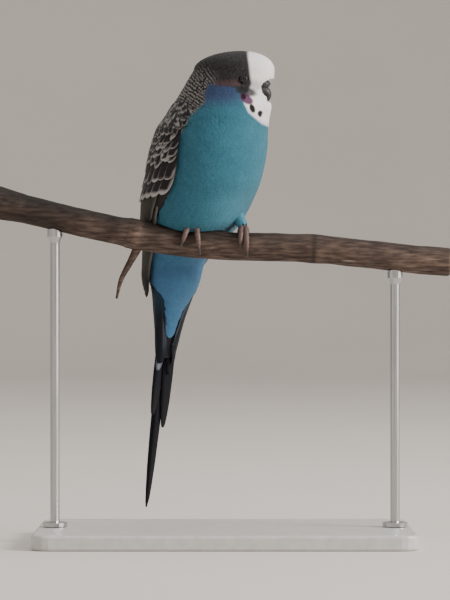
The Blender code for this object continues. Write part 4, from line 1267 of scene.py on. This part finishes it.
def branch(material):
    """Cut length of branch with ridged bark, a node, a knot and the stub of a side twig."""
    columns = 72
    xs = np.linspace(PERCH_PATH[0][0], PERCH_PATH[-1][0], 520)
    turn = 2 * math.pi * np.arange(columns) / columns
    slope = (perch_height(xs + 1) - perch_height(xs - 1)) / 2
    along = unit(np.stack([np.ones_like(xs), np.zeros_like(xs), slope], -1))
    up = np.stack([-along[:, 2], np.zeros_like(xs), along[:, 0]], -1)
    rough = np.zeros((len(xs), columns))
    for i, x in enumerate(xs):
        for k, a in enumerate(turn):
            rough[i, k] = sum(high * noise.noise(Vector((x * far, math.cos(a) * near, math.sin(a) * near)))
                              for far, near, high in BARK_RIDGES)
    for place, half in BARK_RINGS:
        rough += 0.14 * np.exp(-((xs - place) / half) ** 2)[:, None]
    ends = smooth(0, 0.8, np.minimum(xs - xs[0], xs[-1] - xs))
    radius = (perch_radius(xs)[:, None] - 0.1 + rough) - 0.35 * (1 - ends)[:, None]
    centre = np.stack([xs, np.zeros_like(xs), perch_height(xs)], -1)
    points = (centre[:, None] + np.array([0, 1.0, 0]) * (radius * np.cos(turn))[..., None]
              + up[:, None] * (radius * np.sin(turn))[..., None])
    steps, sides = 60, 24
    radii = resample([(r,) for r in TWIG_RADII], steps, 1)[:, 0]
    radii = radii * (1 + 0.06 * np.sin(np.arange(steps) * 0.9) * (np.arange(steps) % 13 < 2))
    twig = tube_points(resample(TWIG_PATH, steps, 3), radii, sides, ALONG_PERCH)
    x = np.concatenate([np.repeat(xs, columns), np.full(steps * sides, -38.0)])
    # Painted shade: the branch darkens from its right end towards the bird and is darkest at its left end.
    # The same tone also holds a pale ring at the node and a dark ring at the knot.
    tone = 0.75 + 0.25 * smooth(-20, 60, x) - 0.40 * smooth(-40, -75, x)
    tone = tone * (1 + 0.9 * np.exp(-((x + 35.0) / 1.6) ** 2)) * (1 - 0.55 * np.exp(-((x - 35.5) / 1.1) ** 2))
    made = join_tubes("branch", [points, twig], material, {"Markings": np.repeat(tone[:, None], 3, 1)})
    return ride(made, "bark", "perch_branch")


# Floor and wall, in metres
FLOOR_REACH = 2.6
WALL_BEND = 1.6
WALL_RISE = 1.2


def stage():
    """Pale floor that turns up into a wall far out on every side."""
    rings, columns = 90, 96
    t = np.linspace(0.0005, 1, rings) * (FLOOR_REACH + WALL_BEND * math.pi / 2 + WALL_RISE)
    arc = np.clip((t - FLOOR_REACH) / WALL_BEND, 0, math.pi / 2)
    radius = np.minimum(t, FLOOR_REACH) + WALL_BEND * np.sin(arc)
    height = WALL_BEND * (1 - np.cos(arc)) + np.maximum(t - FLOOR_REACH - WALL_BEND * math.pi / 2, 0)
    turn = 2 * math.pi * np.arange(columns) / columns
    points = np.stack([radius[:, None] * np.cos(turn), radius[:, None] * np.sin(turn),
                       height[:, None] + 0 * turn], -1) / MM
    material = mottled("backdrop", 0.95, (0.665, 0.615, 0.570), (0.680, 0.630, 0.585), 3, 0.0002,
                       specular=0.05, spread=(0.4, 0.6))
    make_mesh("backdrop", points, grid_faces(rings, columns)[:, ::-1], material)


# Camera, in metres, and its lens in millimetres
CAMERA_DISTANCE = 1.2
CAMERA_HEIGHT = 0.0968
CAMERA_LENS = 180
# Soft lights, in metres and watts: name, place, size, power, colour
LIGHTS = (
    ("key", (1.5, -0.55, 0.75), 0.8, 44, (1.0, 0.98, 0.95)),
    ("fill", (-1.3, -1.2, 0.6), 1.4, 4, (1, 1, 1)),
    ("top", (0.2, 0.3, 1.9), 1.2, 9, (1, 1, 1)),
)
LIGHT_TARGET = Vector((0, 0, 0.13))
SKY_COLOUR = (1.0, 0.985, 0.96, 1)
SKY_STRENGTH = 0.76


def studio():
    """Soft lights, an even sky and a level camera at the photo's viewing angle."""
    scene = bpy.context.scene
    for name, place, size, power, colour in LIGHTS:
        data = bpy.data.lights.new(name, "AREA")
        data.shape = "DISK"
        data.size = size
        data.energy = power
        data.color = colour
        made = bpy.data.objects.new(name, data)
        made.location = place
        made.rotation_euler = (LIGHT_TARGET - Vector(place)).to_track_quat("-Z", "Y").to_euler()
        scene.collection.objects.link(made)
    world = bpy.data.worlds.new("studio")
    world.use_nodes = True
    sky = world.node_tree.nodes["Background"]
    sky.inputs["Color"].default_value = SKY_COLOUR
    sky.inputs["Strength"].default_value = SKY_STRENGTH
    scene.world = world
    data = bpy.data.cameras.new("camera")
    data.lens = CAMERA_LENS
    data.sensor_width = 36
    camera = bpy.data.objects.new("camera", data)
    camera.location = (0, -CAMERA_DISTANCE, CAMERA_HEIGHT)
    camera.rotation_euler = (math.pi / 2, 0, 0)
    scene.collection.objects.link(camera)
    scene.camera = camera


# Finishes: roughness, dark and light colour, scale and depth of the grain, and where it differs
# the shine, the stretch of the grain and the metal
FINISHES = {
    "horn": (0.45, (0.020, 0.019, 0.018), (0.045, 0.042, 0.037), 500, 0.00003, 0.35, (0.5, 1, 1)),
    "claw": (0.4, (0.035, 0.030, 0.027), (0.08, 0.068, 0.060), 800, 0.00003),
    "cere": (0.5, (0.022, 0.021, 0.024), (0.048, 0.046, 0.052), 1500, 0.00008),
    "eyelid": (0.7, (0.014, 0.014, 0.015), (0.034, 0.032, 0.034), 2500, 0.0001),
    "foot_skin": (0.55, (0.075, 0.043, 0.038), (0.155, 0.098, 0.086), 1400, 0.0001),
    "eye": (0.10, (0.003, 0.003, 0.004), (0.009, 0.007, 0.006), 900, 0.000001, 0.35),
    "stand_base": (0.38, (0.50, 0.49, 0.47), (0.58, 0.57, 0.55), 260, 0.00004),
    "stand_rod": (0.30, (0.44, 0.44, 0.44), (0.56, 0.56, 0.56), 900, 0.00002, 0.4, (1, 1, 0.05), 1.0),
}


def stand(finishes):
    """Finishes of the stand's solids, which are shown as they are."""
    for name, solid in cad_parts.items():
        if name.startswith("stand_"):
            slot = "stand_base" if name == "stand_base" else "stand_rod"
            solid.data.materials.clear()
            solid.data.materials.append(finishes[slot])


def main():
    blue = plumage("plumage_blue", 0.75, 0.08, 0.35)
    grey = plumage("plumage_head", 0.75, 0.05, 0.25)
    dark = plumage("plumage_wing", 0.6, 0.02, 0.5)
    tail_finish = plumage("plumage_tail", 0.6, 0.01, 0.5)
    finishes = {name: mottled(name, *values) for name, values in FINISHES.items()}
    stand(finishes)
    skin(skin_material())
    body_coat(blue, grey)
    undertail(blue)
    for side, letter in ((1, "R"), (-1, "L")):
        wing(side, letter, dark)
    tail(tail_finish)
    bill_half("bill_top", UPPER_BILL, finishes["horn"], "bill_upper")
    bill_half("bill_under", LOWER_BILL, finishes["horn"], "bill_lower")
    cere(finishes["cere"])
    eyes(finishes["eye"], finishes["eyelid"])
    feet(finishes["foot_skin"], finishes["claw"])
    leg_tufts(blue)
    branch(bark_material())
    stage()
    studio()


main()
